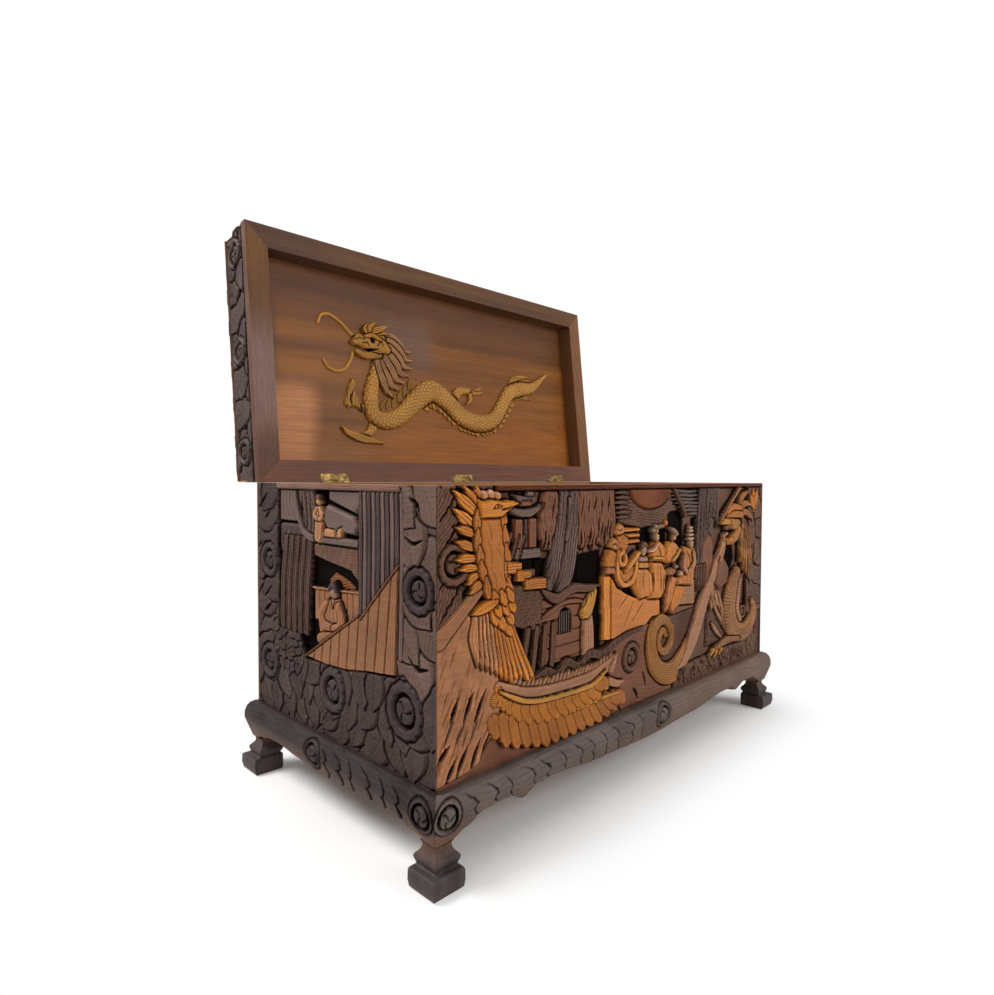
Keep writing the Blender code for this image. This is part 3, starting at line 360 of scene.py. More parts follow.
    def plate(self, outline, low, rise, stain_and_shade, bevel=2.0, detail=None, shade=1.0, lines=(0, 4.0, 0.3),
              groove=2.0):
        """A flat raised shape with eased edges. Lines are fine cuts in a direction in degrees, at a pitch."""
        area, u, v, inside, margin = self.within(outline)
        height = low + rise * np.minimum(1, margin / bevel)
        if detail:
            height = height + detail(u, v)
        if callable(shade):
            shade = shade(u, v)[..., None]
        turn, pitch, strength = lines
        c, s = math.cos(math.radians(turn)), math.sin(math.radians(turn))
        phase = (v * c - u * s) / pitch + 0.8 * np.sin((u * c + v * s) / 23)
        self.lay(area, inside, height, stain_and_shade, shade, margin, groove, (phase, strength))

    def dome(self, u, v, reach, low, rise, stain_and_shade, crown="barrel"):
        self.ridge([(u, v - 0.5, reach), (u, v + 0.5, reach)], low, rise, stain_and_shade, crown,
                   lines=("along", 3, 0))

    def roundel(self, cu, cv, reach, stain_and_shade, low=-7.0, turn=0.0, scallop=0.014):
        """A flat scalloped ring, a moat and a boss with a three-part swirl; painted shade blackens the moat
        and darkens the swirl and the notches.
        """
        area = self.area(cu - reach * 1.3, cu + reach * 1.3, cv - reach * 1.3, cv + reach * 1.3)
        du, dv = self.u[area] - cu, self.v[area] - cv
        angle = np.arctan2(dv, du)
        out = np.hypot(du, dv) / (reach * (1 + scallop * np.cos(LOBES * angle + turn)))
        core = 0.46 if scallop else 0.62
        ring = low + 6.5 * np.clip(np.minimum((1 - out) / 0.12, (out - core - 0.12) / 0.1), 0, 1)
        notch = (np.cos(LOBES * angle + turn) < -0.88) & (out > 0.88) & (scallop > 0)
        swirl = np.abs((3 * (angle + turn) - 5.5 * out + math.pi) % math.tau - math.pi) < 0.55
        swirl &= (out > 0.04) & (out < core - 0.08)
        boss = low + 5.0 * np.sqrt(np.maximum(0, 1 - (out / core) ** 6)) - np.where(swirl, 2.8, 0)
        moat = (out >= core - 0.01) & (out <= core + 0.14)
        height = np.where(out > core + 0.14, ring - np.where(notch, 0.9, 0), np.where(moat, low - 6, boss))
        shade = np.where(moat, 0.12, np.where(swirl, 0.2, np.where(notch, 0.5, 1.0)))[..., None]
        self.lay(area, out < 1, height, stain_and_shade, shade, (out - 1) * reach, 2.4, (9 * angle / math.tau, 0.15))

    def leaf(self, u, v, turn, length, half, stain_and_shade, low=-9.0, rise=6.0, detail=None, shade=1.0):
        c, s = math.cos(math.radians(turn)), math.sin(math.radians(turn))
        knots = ((-0.5, 0.45), (-0.15, 1.0), (0.2, 0.86), (0.5, 0.06))
        path = [(u + share * length * c, v + share * length * s, width * half) for share, width in knots]
        self.ridge(path, (low, low + 2.5), rise, stain_and_shade, "leaf", detail or barbs(10, 0.8, 0.6), shade,
                   ("barbs", 4.0, 0.5))

    def leaves(self, outline, pitch, seed, stain_and_shade, turn=250, low=-1.5, tilt=0.09, groove=1.5):
        """Flat leaves that fill an outline: each tilted to its tip and veined, with a cut round it; painted
        shade darkens the cuts and the veins.
        """
        rng = np.random.default_rng(seed)
        area, u, v, inside, margin = self.within(outline)
        coarse = (0.7 * pitch, 0.16 * pitch)
        fine = (0.16 * pitch, 0.04 * pitch)
        waver_u = u + lumps(*coarse, seed)(u, v) + lumps(*fine, seed + 2)(u, v)
        waver_v = v + lumps(*coarse, seed + 1)(u, v) + lumps(*fine, seed + 3)(u, v)
        low_u, low_v = np.min(outline, axis=0) - pitch
        high_u, high_v = np.max(outline, axis=0) + pitch
        first = np.full(u.shape, np.inf)
        second = np.full(u.shape, np.inf)
        along = np.zeros(u.shape)
        across = np.zeros(u.shape)
        tone = np.ones(u.shape)
        for i, at_v in enumerate(np.arange(low_v, high_v, 0.86 * pitch)):
            for at_u in np.arange(low_u + (i % 2) * pitch / 2, high_u, pitch):
                du = waver_u - at_u - rng.uniform(-0.25, 0.25) * pitch
                dv = waver_v - at_v - rng.uniform(-0.25, 0.25) * pitch
                way = math.radians(turn + rng.uniform(-60, 60))
                run = du * math.cos(way) + dv * math.sin(way)
                off = dv * math.cos(way) - du * math.sin(way)
                far = np.hypot(run * 0.78, off) + 0.2 * run
                shade = rng.uniform(0.82, 1.12)
                nearer = far < first
                second = np.where(nearer, first, np.minimum(second, far))
                first = np.where(nearer, far, first)
                along = np.where(nearer, run, along)
                across = np.where(nearer, off, across)
                tone = np.where(nearer, shade, tone)
        edge = (second - first) / 2
        cut = np.exp(-(edge / groove) ** 2)
        vein = np.exp(-(across / 1.3) ** 2) * np.clip((along + 0.3 * pitch) / 6, 0, 1)
        branch = np.abs(((along - 0.9 * np.abs(across)) / (0.2 * pitch) + 0.5) % 1 - 0.5) * 0.2 * pitch
        branch = np.exp(-(branch / 1.2) ** 2) * np.clip((0.32 * pitch - np.abs(across)) / 5, 0, 1) * 0.7
        vein = np.maximum(vein, branch)
        height = low + tilt * np.clip(along, -0.6 * pitch, 0.6 * pitch) - 5 * cut - 1.1 * vein
        shade = tone * (1 - 0.9 * cut) * (1 - 0.5 * vein)
        self.lay(area, inside, height, stain_and_shade, shade[..., None], margin, 0, (along / 9, 0.1))

    def foliage(self, low_u, high_u, low_v, high_v, pitch, turn, stain_and_shade, seed, low=-9.0, swing=35, rise=6.0):
        """Overlapping leaves over a rectangle, each tip over the foot of the next."""
        rng = np.random.default_rng(seed)
        places = []
        for i, v in enumerate(np.arange(low_v, high_v + 1, pitch * 0.8)):
            for u in np.arange(low_u + (i % 2) * pitch / 2, high_u + 1, pitch):
                places.append((u + rng.uniform(-0.2, 0.2) * pitch, v + rng.uniform(-0.2, 0.2) * pitch))
        c, s = math.cos(math.radians(turn)), math.sin(math.radians(turn))
        for u, v in sorted(places, key=lambda p: -(p[0] * c + p[1] * s)):
            size = rng.uniform(0.85, 1.25)
            self.leaf(u, v, turn + rng.uniform(-swing, swing), 1.5 * pitch * size, 0.58 * pitch * size,
                      stain_and_shade, low + rng.uniform(-1, 1.5), rise, shade=rng.uniform(0.86, 1.1))

    def figure(self, u, v, tall, stain_and_shade, lean=0.0, low=-9.0):
        """A small robed figure with folded sleeves and a knot of hair."""
        t = tall / 100
        self.ridge([(u, v, 19 * t), (u + 0.4 * lean, v + 30 * t, 16 * t),
                    (u + 0.8 * lean, v + 60 * t, 14 * t), (u + lean, v + 72 * t, 8 * t)], low, 8, stain_and_shade,
                   "round", flutes(3, 1.6))
        for way in (-1, 1):
            self.ridge([(u + lean + way * 8 * t, v + 66 * t, 6 * t),
                        (u + lean + way * 17 * t, v + 50 * t, 7 * t),
                        (u + lean + way * 5 * t, v + 40 * t, 6 * t)], low + 3, 6, stain_and_shade, "round",
                       strands(4, 0.8), 1.08)
        self.gouge([(u + lean - 12 * t, v + 36 * t, 1.3), (u + lean + 12 * t, v + 36 * t, 1.3)], 1.8)
        self.dome(u + lean, v + 84 * t, 10 * t, low + 2, 7, SKIN)
        self.ridge([(u + lean - 8 * t, v + 90 * t, 3.5 * t), (u + lean, v + 96 * t, 5 * t),
                    (u + lean + 8 * t, v + 90 * t, 3.5 * t)], low + 4, 5, UMBER)

    def square_ends(self, half, reach):
        """Brings the carving to the face along the two upright edges, where boards meet."""
        share = np.clip((half - np.abs(self.u)) / reach, 0, 1)
        share = share * share * (3 - 2 * share)
        self.height = share * self.height - (1 - share) * 0.8

    def settle(self):
        """Takes the saw-teeth off the edges and works out the hollows, which the wood darkens with painted
        shade and some real grime, and the raised edges, which it makes paler as rubbed wear and painted
        highlight.
        """
        self.height = 0.74 * self.height + 0.26 * blurred(self.height, 1)
        for band in range(3):
            self.stain_and_shade[..., band] = 0.74 * self.stain_and_shade[..., band] + 0.26 * blurred(self.stain_and_shade[..., band], 1)
        pace = abs(self.u[0, 1] - self.u[0, 0])
        near = max(1, int(round(4 / pace)))
        far = max(2, int(round(13 / pace)))
        close = blurred(self.height, near)
        wide = blurred(self.height, far)
        hollow = (close - self.height) / 3.2 * 0.6 + (wide - self.height) / 7 * 0.5
        raised_edge = (self.height - close) / 2.2
        self.shade_and_wear = np.stack([np.clip(hollow, 0, 1), np.clip(raised_edge, 0, 1)], axis=-1)
        return self

    def part(self, first, last):
        """The rows of one of the boards that are glued edge to edge."""
        rows = np.s_[first:last + 1]
        made = Carving(self.u[rows], self.v[rows], 0, DARK)
        made.height = self.height[rows]
        made.stain_and_shade = self.stain_and_shade[rows]
        made.cuts = self.cuts[rows]
        made.shade_and_wear = self.shade_and_wear[rows]
        return made


def square_grid(low_u, high_u, low_v, high_v, pace):
    columns = int(round((high_u - low_u) / pace)) + 1
    rows = int(round((high_v - low_v) / pace)) + 1
    return np.meshgrid(np.linspace(low_u, high_u, columns), np.linspace(low_v, high_v, rows))


# From a carving to a piece

def give_colour_and_shade(mesh, carving):
    """Puts the stain with its painted shade, the hollows and raised edges that get painted shade, grime, wear
    and painted highlight, and the fine cuts on the mesh as its own attributes.
    """
    empty = np.zeros(carving.u.shape)
    full = np.ones(carving.u.shape)
    for name, bands in (("stain_and_shade", [carving.stain_and_shade]), ("shade_and_wear", [carving.shade_and_wear, empty]),
                        ("cuts", [carving.cuts, empty])):
        layer = mesh.color_attributes.new(name=name, type="FLOAT_COLOR", domain="POINT")
        layer.data.foreach_set("color", np.dstack([*bands, full]).astype(np.float32).ravel())


def points_of(mesh):
    spots = np.empty(len(mesh.vertices) * 3, np.float32)
    mesh.vertices.foreach_get("co", spots)
    return spots.reshape(-1, 3)


def face_outwards():
    """Turns every face of the active piece outwards."""
    bpy.ops.object.mode_set(mode="EDIT")
    bpy.ops.mesh.select_all(action="SELECT")
    bpy.ops.mesh.normals_make_consistent(inside=False)
    bpy.ops.object.mode_set(mode="OBJECT")


def grid_piece(name, carving, points):
    """A grid bent to the carved points, still open at the back."""
    rows, columns = carving.u.shape
    bpy.ops.object.select_all(action="DESELECT")
    bpy.ops.mesh.primitive_grid_add(x_subdivisions=columns - 1, y_subdivisions=rows - 1, size=1)
    piece = bpy.context.object
    piece.name = name
    piece.data.name = name
    piece.data.vertices.foreach_set("co", np.ascontiguousarray(points, np.float32).ravel())
    give_colour_and_shade(piece.data, carving)
    piece.data.update()
    return piece


def close_back(piece, back, inner, steep=0.0):
    """Walls from the rim of the carved face to the back points, and a back, in the second material. Walls
    that face up or down by less than the share called steep stay in the first."""
    rim = len(piece.data.vertices)
    piece.data.materials.append(None)
    piece.data.materials.append(inner)
    bpy.ops.object.mode_set(mode="EDIT")
    bpy.ops.mesh.select_mode(type="EDGE")
    bpy.ops.mesh.select_all(action="DESELECT")
    bpy.ops.mesh.select_non_manifold(extend=False, use_wire=False, use_boundary=True, use_multi_face=False,
                                     use_non_contiguous=False, use_verts=False)
    bpy.ops.mesh.mark_sharp()
    bpy.ops.mesh.extrude_edges_move()
    bpy.ops.mesh.mark_sharp()
    bpy.ops.object.mode_set(mode="OBJECT")
    mesh = piece.data
    spots = points_of(mesh)
    face = {tuple(np.round(p, 6)): i for i, p in enumerate(spots[:rim])}
    for i in range(rim, len(spots)):
        spots[i] = back[face[tuple(np.round(spots[i], 6))]]
    mesh.vertices.foreach_set("co", spots.ravel())
    bpy.ops.object.mode_set(mode="EDIT")
    bpy.ops.mesh.edge_face_add()
    bpy.ops.object.mode_set(mode="OBJECT")
    faces = len(mesh.polygons)
    slots = np.zeros(faces, np.int32)
    low = np.empty(faces, np.int32)
    mesh.polygons.foreach_get("loop_start", low)
    corners = np.empty(len(mesh.loops), np.int32)
    mesh.loops.foreach_get("vertex_index", corners)
    highest = np.maximum.reduceat(corners, low)
    slots[highest >= rim] = 1
    facing = np.empty(faces * 3, np.float32)
    mesh.polygons.foreach_get("normal", facing)
    wall = (highest >= rim) & (np.minimum.reduceat(corners, low) < rim)
    slots[wall & (np.abs(facing[2::3]) < steep)] = 0
    mesh.polygons.foreach_set("material_index", slots)
    face_outwards()
    bpy.ops.object.shade_smooth_by_angle(angle=BOARD_CREASE)


def board(name, carving, place, thick, face, inner, mitre=(0, 0), steep=0.0):
    """A settled carving as a board: its back flat, its ends cut back for a mitre."""
    points = place(carving.u, carving.v, carving.height)
    piece = grid_piece(name, carving, points)
    half_u = (carving.u.max() - carving.u.min()) / 2
    half_v = (carving.v.max() - carving.v.min()) / 2
    mid_u = (carving.u.max() + carving.u.min()) / 2
    mid_v = (carving.v.max() + carving.v.min()) / 2
    back_u = mid_u + (carving.u - mid_u) * (half_u - mitre[0]) / half_u
    back_v = mid_v + (carving.v - mid_v) * (half_v - mitre[1]) / half_v
    back = place(back_u, back_v, np.full(carving.u.shape, -float(thick))).reshape(-1, 3)
    close_back(piece, back, inner, steep)
    piece.data.materials[0] = face
    return piece


def boards_glued(names, carving, place, thick, face, inner, mitre, body, *nodes, steep=0.7):
    """One carving across boards that are glued edge to edge, lowest first."""
    carving.settle()
    rows = len(carving.u) - 1
    for i, name in enumerate(names):
        strip = carving.part(i * rows // len(names), (i + 1) * rows // len(names))
        join_to(board(name, strip, place, thick, face, inner, mitre, steep), body, "carved_wood", *nodes)


def join_to(piece, body, finish, *nodes):
    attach(piece, body)
    if nodes:
        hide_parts(*nodes)


def on_side(side, run, out, up):
    """A point of a side of the chest: metres along it, out from its face, and up."""
    if side in ("front", "rear"):
        return np.stack([run, FRONT - out if side == "front" else BACK + out, up], axis=-1)
    return np.stack([LEFT - out if side == "left" else RIGHT + out, MIDDLE - run, up], axis=-1)


def wall_place(side):
    return lambda u, v, h: on_side(side, u / 1000, h / 1000, BASE + v / 1000)


def on_lid(u, w, d):
    """A point of the open lid: along the chest, up from the hinge and through it from its frame."""
    spread = [np.asarray(part)[..., None] / 1000 for part in (u, w, d)]
    return HINGE + spread[0] * np.array((1, 0, 0)) + spread[1] * LID_UP + spread[2] * LID_THROUGH


# Materials

# Sizes of patterns, as repeats in a metre: stain uneven over 60 mm, flecks of 2.4 mm, gouge facets of 5 mm,
# growth bands that bend over 140 mm, tarnish in spots of 11 mm. Flecks are coarser than real pores, to show.
WASH = 16.0
FLECKS = 420.0
FACETS = 190.0
BENDS = 7.0
SPOTS = 90.0
WAXED_IOR = 1.48


def node(tree, kind, inputs=None, **settings):
    """A node with its settings. An input is a value, or the socket or the node that feeds it."""
    made = tree.nodes.new("ShaderNode" + kind)
    for key, value in settings.items():
        setattr(made, key, value)
    for key, value in (inputs or {}).items():
        if isinstance(value, bpy.types.Node):
            value = value.outputs[0]
        if isinstance(value, bpy.types.NodeSocket):
            tree.links.new(value, made.inputs[key])
        else:
            made.inputs[key].default_value = value
    return made


def new_material(name):
    """An empty material, and the function that adds a node to it."""
    made = bpy.data.materials.new(name)
    made.use_nodes = True
    made.node_tree.nodes.clear()
    return made, partial(node, made.node_tree)


def rgba(text):
    return (*linear(text), 1)


def carved_camphor(name, grain):
    """Camphor wood, carved with gouges, stained and waxed: painted shade with some real grime in the hollows,
    painted shade along the fine cuts, paler edges that are rubbed wear and painted highlight, grain as soft
    streaks about 3 mm apart and a low wax sheen."""
    made, add = new_material(name)
    spot = add("TexCoord").outputs["Object"]
    stain_and_shade = add("Attribute", attribute_name="stain_and_shade").outputs["Color"]
    shade_and_wear = add("SeparateColor", {"Color": add("Attribute", attribute_name="shade_and_wear").outputs["Color"]})
    streaks = add("TexNoise", {"Vector": add("Mapping", {"Vector": spot, "Scale": grain}), "Scale": 1.0,
                               "Detail": 5.0, "Roughness": 0.6})
    patches = add("TexNoise", {"Vector": spot, "Scale": WASH, "Detail": 3.0})
    flecks = add("TexNoise", {"Vector": spot, "Scale": FLECKS, "Detail": 2.0})
    tone = add("MapRange", {"Value": streaks, "From Min": 0.3, "From Max": 0.7, "To Min": 0.84,
                            "To Max": 1.14})
    wash = add("MapRange", {"Value": patches, "From Min": 0.3, "From Max": 0.7, "To Min": 0.84,
                            "To Max": 1.14})
    both = add("Math", {0: tone, 1: wash}, operation="MULTIPLY")
    wood = add("VectorMath", {0: stain_and_shade, "Scale": both}, operation="SCALE")
    cuts = add("SeparateColor", {"Color": add("Attribute", attribute_name="cuts").outputs["Color"]})
    unsteady = add("Math", {0: patches, 1: 3.0, 2: cuts.outputs["Red"]}, operation="MULTIPLY_ADD")
    away = add("Math", {0: unsteady, 1: 0.5}, operation="PINGPONG")
    ridge = add("MapRange", {"Value": away, "From Min": 0.04, "From Max": 0.3},
                interpolation_type="SMOOTHSTEP")
    valley = add("Math", {0: 1.0, 1: ridge}, operation="SUBTRACT")
    line = add("Math", {0: valley, 1: cuts.outputs["Green"]}, operation="MULTIPLY")
    # Painted shade: the fine cut lines darken the wood
    cut_shaded = add("MapRange", {"Value": line, "To Min": 1.0, "To Max": 0.35})
    wood = add("VectorMath", {0: wood, "Scale": cut_shaded}, operation="SCALE")
    # Raised edges made paler: rubbed wear and painted highlight
    rubbed_and_lit = add("Math", {0: shade_and_wear.outputs["Green"], 1: 0.62}, operation="MULTIPLY")
    paler = add("VectorMath", {0: wood, "Scale": 1.55}, operation="SCALE")
    edged = add("Mix", {0: rubbed_and_lit, 4: wood, 5: paler}, data_type="VECTOR")
    # Hollows darkened towards near-black: painted shade, with some real grime
    deep = add("MapRange", {"Value": shade_and_wear.outputs["Red"], "From Min": 0.08, "From Max": 0.75, "To Min": 0.0,
                            "To Max": 0.93})
    shaded_and_grimed = add("Mix", {0: deep, 6: edged.outputs[1], 7: rgba("#120c0a")}, data_type="RGBA")
    gloss = add("MapRange", {"Value": shade_and_wear.outputs["Red"], "To Min": 0.46, "To Max": 0.85})
    rough = add("Math", {0: gloss, 1: add("Math", {0: flecks, 1: 0.2}, operation="MULTIPLY").outputs[0]},
                operation="ADD")
    facets = add("TexVoronoi", {"Vector": spot, "Scale": FACETS}, feature="SMOOTH_F1")
    marks = add("Bump", {"Strength": 0.22, "Distance": 0.0012, "Height": facets})
    fibres = add("Bump", {"Strength": 0.2, "Distance": 0.0006, "Height": streaks, "Normal": marks})
    chisel = add("Bump", {"Strength": 0.7, "Distance": 0.0016, "Height": line, "Normal": fibres},
                 invert=True)
    pale = add("RGBToBW", {0: shaded_and_grimed.outputs[2]})
    gleam = add("MapRange", {"Value": pale, "From Max": 0.05, "To Min": 0.0, "To Max": 0.24})
    shader = add("BsdfPrincipled",
                 {"IOR": WAXED_IOR, "Base Color": shaded_and_grimed.outputs[2], "Roughness": rough, "Normal": chisel,
                  "Specular IOR Level": gleam})
    add("OutputMaterial", {"Surface": shader})
    return made


# The front: phoenix on the left, a boat party in the middle, dragon on the right

def front_scenery(c):
    """Caves, trees, houses and sky behind the birds and beasts."""
    c.height += lumps(60, 2, 1)(c.u, c.v)
    # Openings sunk deep and blackened with painted shade
    for low_u, high_u, low_v, high_v in ((-195, -138, 130, 300), (-8, 62, 296, 346), (60, 82, 300, 336),
                                         (96, 150, 288, 362), (192, 216, 240, 345), (-392, -300, 288, 372),
                                         (-305, -200, 236, 300), (-352, -258, 122, 196),
                                         (48, 112, 148, 222), (-62, -28, 200, 262)):
        c.plate([(low_u, low_v), (low_u - 4, high_v), (high_u, high_v + 4), (high_u + 4, low_v)], -13, -4,
                SHADE_BLACK)
    # Bark with a fringed foot, smooth rock and fibrous trunks along the top
    c.plate([(-212, 318), (-208, 414), (-104, 414), (-100, 352), (-108, 312), (-124, 318), (-136, 308),
             (-150, 318), (-164, 306), (-178, 318), (-192, 308)], -9, 6, RUSSET, 3, lumps(24, 3, 2), 0.95,
            (88, 7, 0.6))
    c.plate([(-304, 400), (-296, 413), (-262, 413), (-256, 380), (-258, 330), (-275, 312), (-300, 316),
             (-310, 350)], -9, 6, RUSSET, 4, lumps(24, 3, 3), 0.95, (95, 9, 0.5))
    # Cuts in the bark, blackened with painted shade
    for i, u in enumerate((-200, -191, -183, -174, -166, -157, -149, -140, -132, -123, -115, -302, -293,
                           -285, -276, -268)):
        top = 346 - 7 * (i % 3) + (14 if u > -150 else 0)
        c.gouge([(u, top, 0.8), (u - 2, top - 16, 2.4), (u - 4, top - 32, 0.8)], 5, SHADE_BLACK)
    for i, u in enumerate((-196, -178, -160, -141, -120, -298, -272)):
        c.gouge([(u, 398 - 5 * (i % 2), 0.6), (u - 2, 384, 1.6), (u - 5, 366 + 5 * (i % 3), 0.6)], 3, SHADE_BLACK)
    c.ridge([(-248, 408, 11), (-252, 360, 14), (-262, 310, 18), (-284, 254, 8)], -9, 8, SLATE, "flat",
            flutes(5, 3), 1.4, ("along", 3.2, 0.8))
    c.ridge([(-222, 404, 11), (-226, 345, 14), (-236, 290, 18), (-252, 246, 14)], -8, 8, SLATE, "flat",
            flutes(5, 3), 1.4, ("along", 3.2, 0.8))
    c.ridge([(-236, 396, 4), (-236, 360, 6), (-244, 330, 4)], -3, 4, SLATE, "flat", flutes(3, 2), 1.15)
    # Pagoda behind the beak: posts under two roofs that sweep up, and a leaning fence below it
    for u, wide, stain_and_shade in ((-354, 9, RUSSET), (-338, 4, DARK), (-322, 9, RUSSET)):
        c.plate([(u - wide, 320), (u - wide, 368), (u + wide, 368), (u + wide, 320)], -11, 6, stain_and_shade, 1.5,
                None, 1.0, (90, 4, 0.5), 1.6)
    c.plate([(-368, 306), (-366, 322), (-304, 320), (-302, 304)], -9, 5, SLATE, 2, None, 1.2, (0, 4, 0.6))
    for v, reach in ((372, 1.0), (392, 0.72)):
        mid = -338
        c.plate([(mid - 46 * reach, v + 14), (mid - 30 * reach, v + 3), (mid - 8 * reach, v - 3),
                 (mid + 12 * reach, v - 2), (mid + 28 * reach, v + 6), (mid + 36 * reach, v + 20),
                 (mid + 22 * reach, v + 14), (mid + 10 * reach, v + 12), (mid - 6 * reach, v + 11),
                 (mid - 24 * reach, v + 13)], -8, 6, SLATE, 2, None, 1.25, (80, 4, 0.7), 2.4)
    c.plate([(-352, 386), (-350, 396), (-328, 396), (-326, 386)], -9, 5, RUSSET, 2)
    c.plate([(-340, 402), (-338, 414), (-322, 414), (-320, 402)], -8, 5, SLATE, 2, None, 1.2)
    for u, v in ((-388, 300), (-374, 296), (-360, 294)):
        c.ridge([(u, v, 3), (u + 20, v + 46, 3)], -13, 6, UMBER, "flat", None, 1.1)
    # Half a sun with its rays, and cloud bands on both sides
    c.plate([(-80, 414), (-88, 350), (-20, 336), (60, 338), (104, 372), (96, 414)], -10, 5, UMBER, 4,
            lumps(20, 1.5, 4), 1.1, (0, 6, 0.6))
    for turn in range(196, 350, 7):
        a = math.radians(turn)
        c.gouge([(53 * math.cos(a), 414 + 53 * math.sin(a), 0.9),
                 (84 * math.cos(a), 414 + 76 * math.sin(a), 0.6)], 1.6)
    rim = [(20 + 77 * math.cos(a), 414 + 43 * math.sin(a)) for a in np.linspace(math.pi, math.tau, 24)]
    c.plate(rim, -8, 6, SUN, 5, lumps(40, 0.8, 41), lambda u, v: 1.1 - 0.005 * np.clip(u, 0, 90),
            (84, 6, 0.25))
    for v, u in ((404, 88), (396, 98), (388, 92), (380, 112), (372, 124), (364, 136), (356, 148)):
        c.ridge([(u, v, 1.5), (u + 35, v + 1, 3.4), (u + 76, v - 1, 3.4), (u + 112, v, 1.5)], -10, 6, SLATE,
                "flat", None, 1.1, ("along", 2.6, 0.9), 1.2)
    c.ridge([(106, 408, 5), (124, 388, 6), (140, 372, 5), (150, 352, 3)], -7, 6, UMBER, "flat",
            flutes(3, 1.6), 1.1)
    for v, u in ((404, -102), (395, -98), (386, -104), (377, -98), (368, -94), (359, -96)):
        c.ridge([(u, v, 1.5), (u + 22, v + 1, 3.4), (u + 46, v, 1.5)], -9, 5, UMBER, "flat", None, 1.1,
                ("along", 3, 0.6), 1.2)
    # Tree and rock left of the dragon
    for u in (206, 220, 234):
        c.ridge([(u + 12, 408, 6), (u + 4, 350, 7), (u, 290, 7), (u - 4, 236, 5)], -9, 7, SLATE, "flat",
                flutes(3, 2))
    for i, u in enumerate((246, 254, 262, 270, 278, 286, 294)):
        c.ridge([(u + 4, 410, 5), (u - 2 + 5 * (i % 2), 368, 5), (u - 6, 322 + 7 * (i % 3), 1)], (-8, -5),
                6, SLATE, "flat", flutes(2, 1.4), 0.95 + 0.2 * (i % 2), ("along", 3, 0.8), 1.2)
    c.ridge([(268, 336, 9), (258, 300, 11), (262, 250, 8)], -9, 6, SLATE, "flat", flutes(3, 2))
    c.plate([(226, 292), (258, 312), (278, 284), (272, 228), (240, 196), (214, 214)], -9, 6, RUSSET, 5,
            lumps(26, 1.5, 6))
    for i, u in enumerate((192, 203, 214, 225, 236)):
        c.ridge([(u, 242, 5), (u - 3, 216, 6), (u - 4, 190, 1)], (-9, -6), 6, UMBER, "flat", flutes(2, 1.4),
                0.95 + 0.2 * (i % 2))
    # House on the left: thatch, plank walls, curled eaves and a barred window
    c.plate([(-382, 268), (-310, 263), (-262, 200), (-276, 178), (-366, 203)], -10, 6, UMBER, 3,
            lumps(6, 2.2, 33), 1.1, (60, 4, 0.7))
    c.plate([(-300, 236), (-160, 244), (-172, 126), (-300, 126)], -12, 5, RUSSET, 3, boards(90, 22, 3.5),
            1.0, (2, 5, 0.4))
    c.plate([(-256, 174), (-256, 200), (-250, 211), (-239, 216), (-228, 211), (-222, 200), (-222, 174)],
            -14, -3, SHADE_BLACK)
    for u in (-251, -245, -239, -233, -227):
        c.ridge([(u, 175, 1.7), (u, 208, 1.7)], -14, 6, SLATE, "flat", None, 1.1)
    c.ridge([(-306, 256, 2), (-286, 242, 7), (-262, 234, 9), (-240, 242, 8), (-214, 246, 8), (-184, 242, 7),
             (-152, 243, 3)], -8, 7, UMBER, "flat", None, 1.15, ("along", 4, 0.8))
    c.ridge([(-300, 208, 2), (-280, 214, 4), (-250, 224, 4), (-215, 224, 4), (-180, 216, 2)], -8, 5, RUSSET,
            "flat")
    for u, lean in ((-344, 13), (-320, 10), (-297, 8), (-274, 5)):
        c.ridge([(u, 126, 6), (u + lean, 192, 6)], -13, 8, UMBER, "flat", lines=("along", 4, 0.8))
    # Golden bud on its pink trunk
    c.ridge([(-180, 130, 16), (-181, 165, 16), (-182, 198, 12)], -9, 8, ROSE, "flat", None, 0.95,
            ("along", 5, 0.7))
    c.plate([(-155, 242), (-163, 216), (-172, 196), (-184, 188), (-198, 190), (-204, 200), (-196, 216),
             (-178, 232)], -6, 7, STRAW, 4, lines=(48, 5, 0.9))


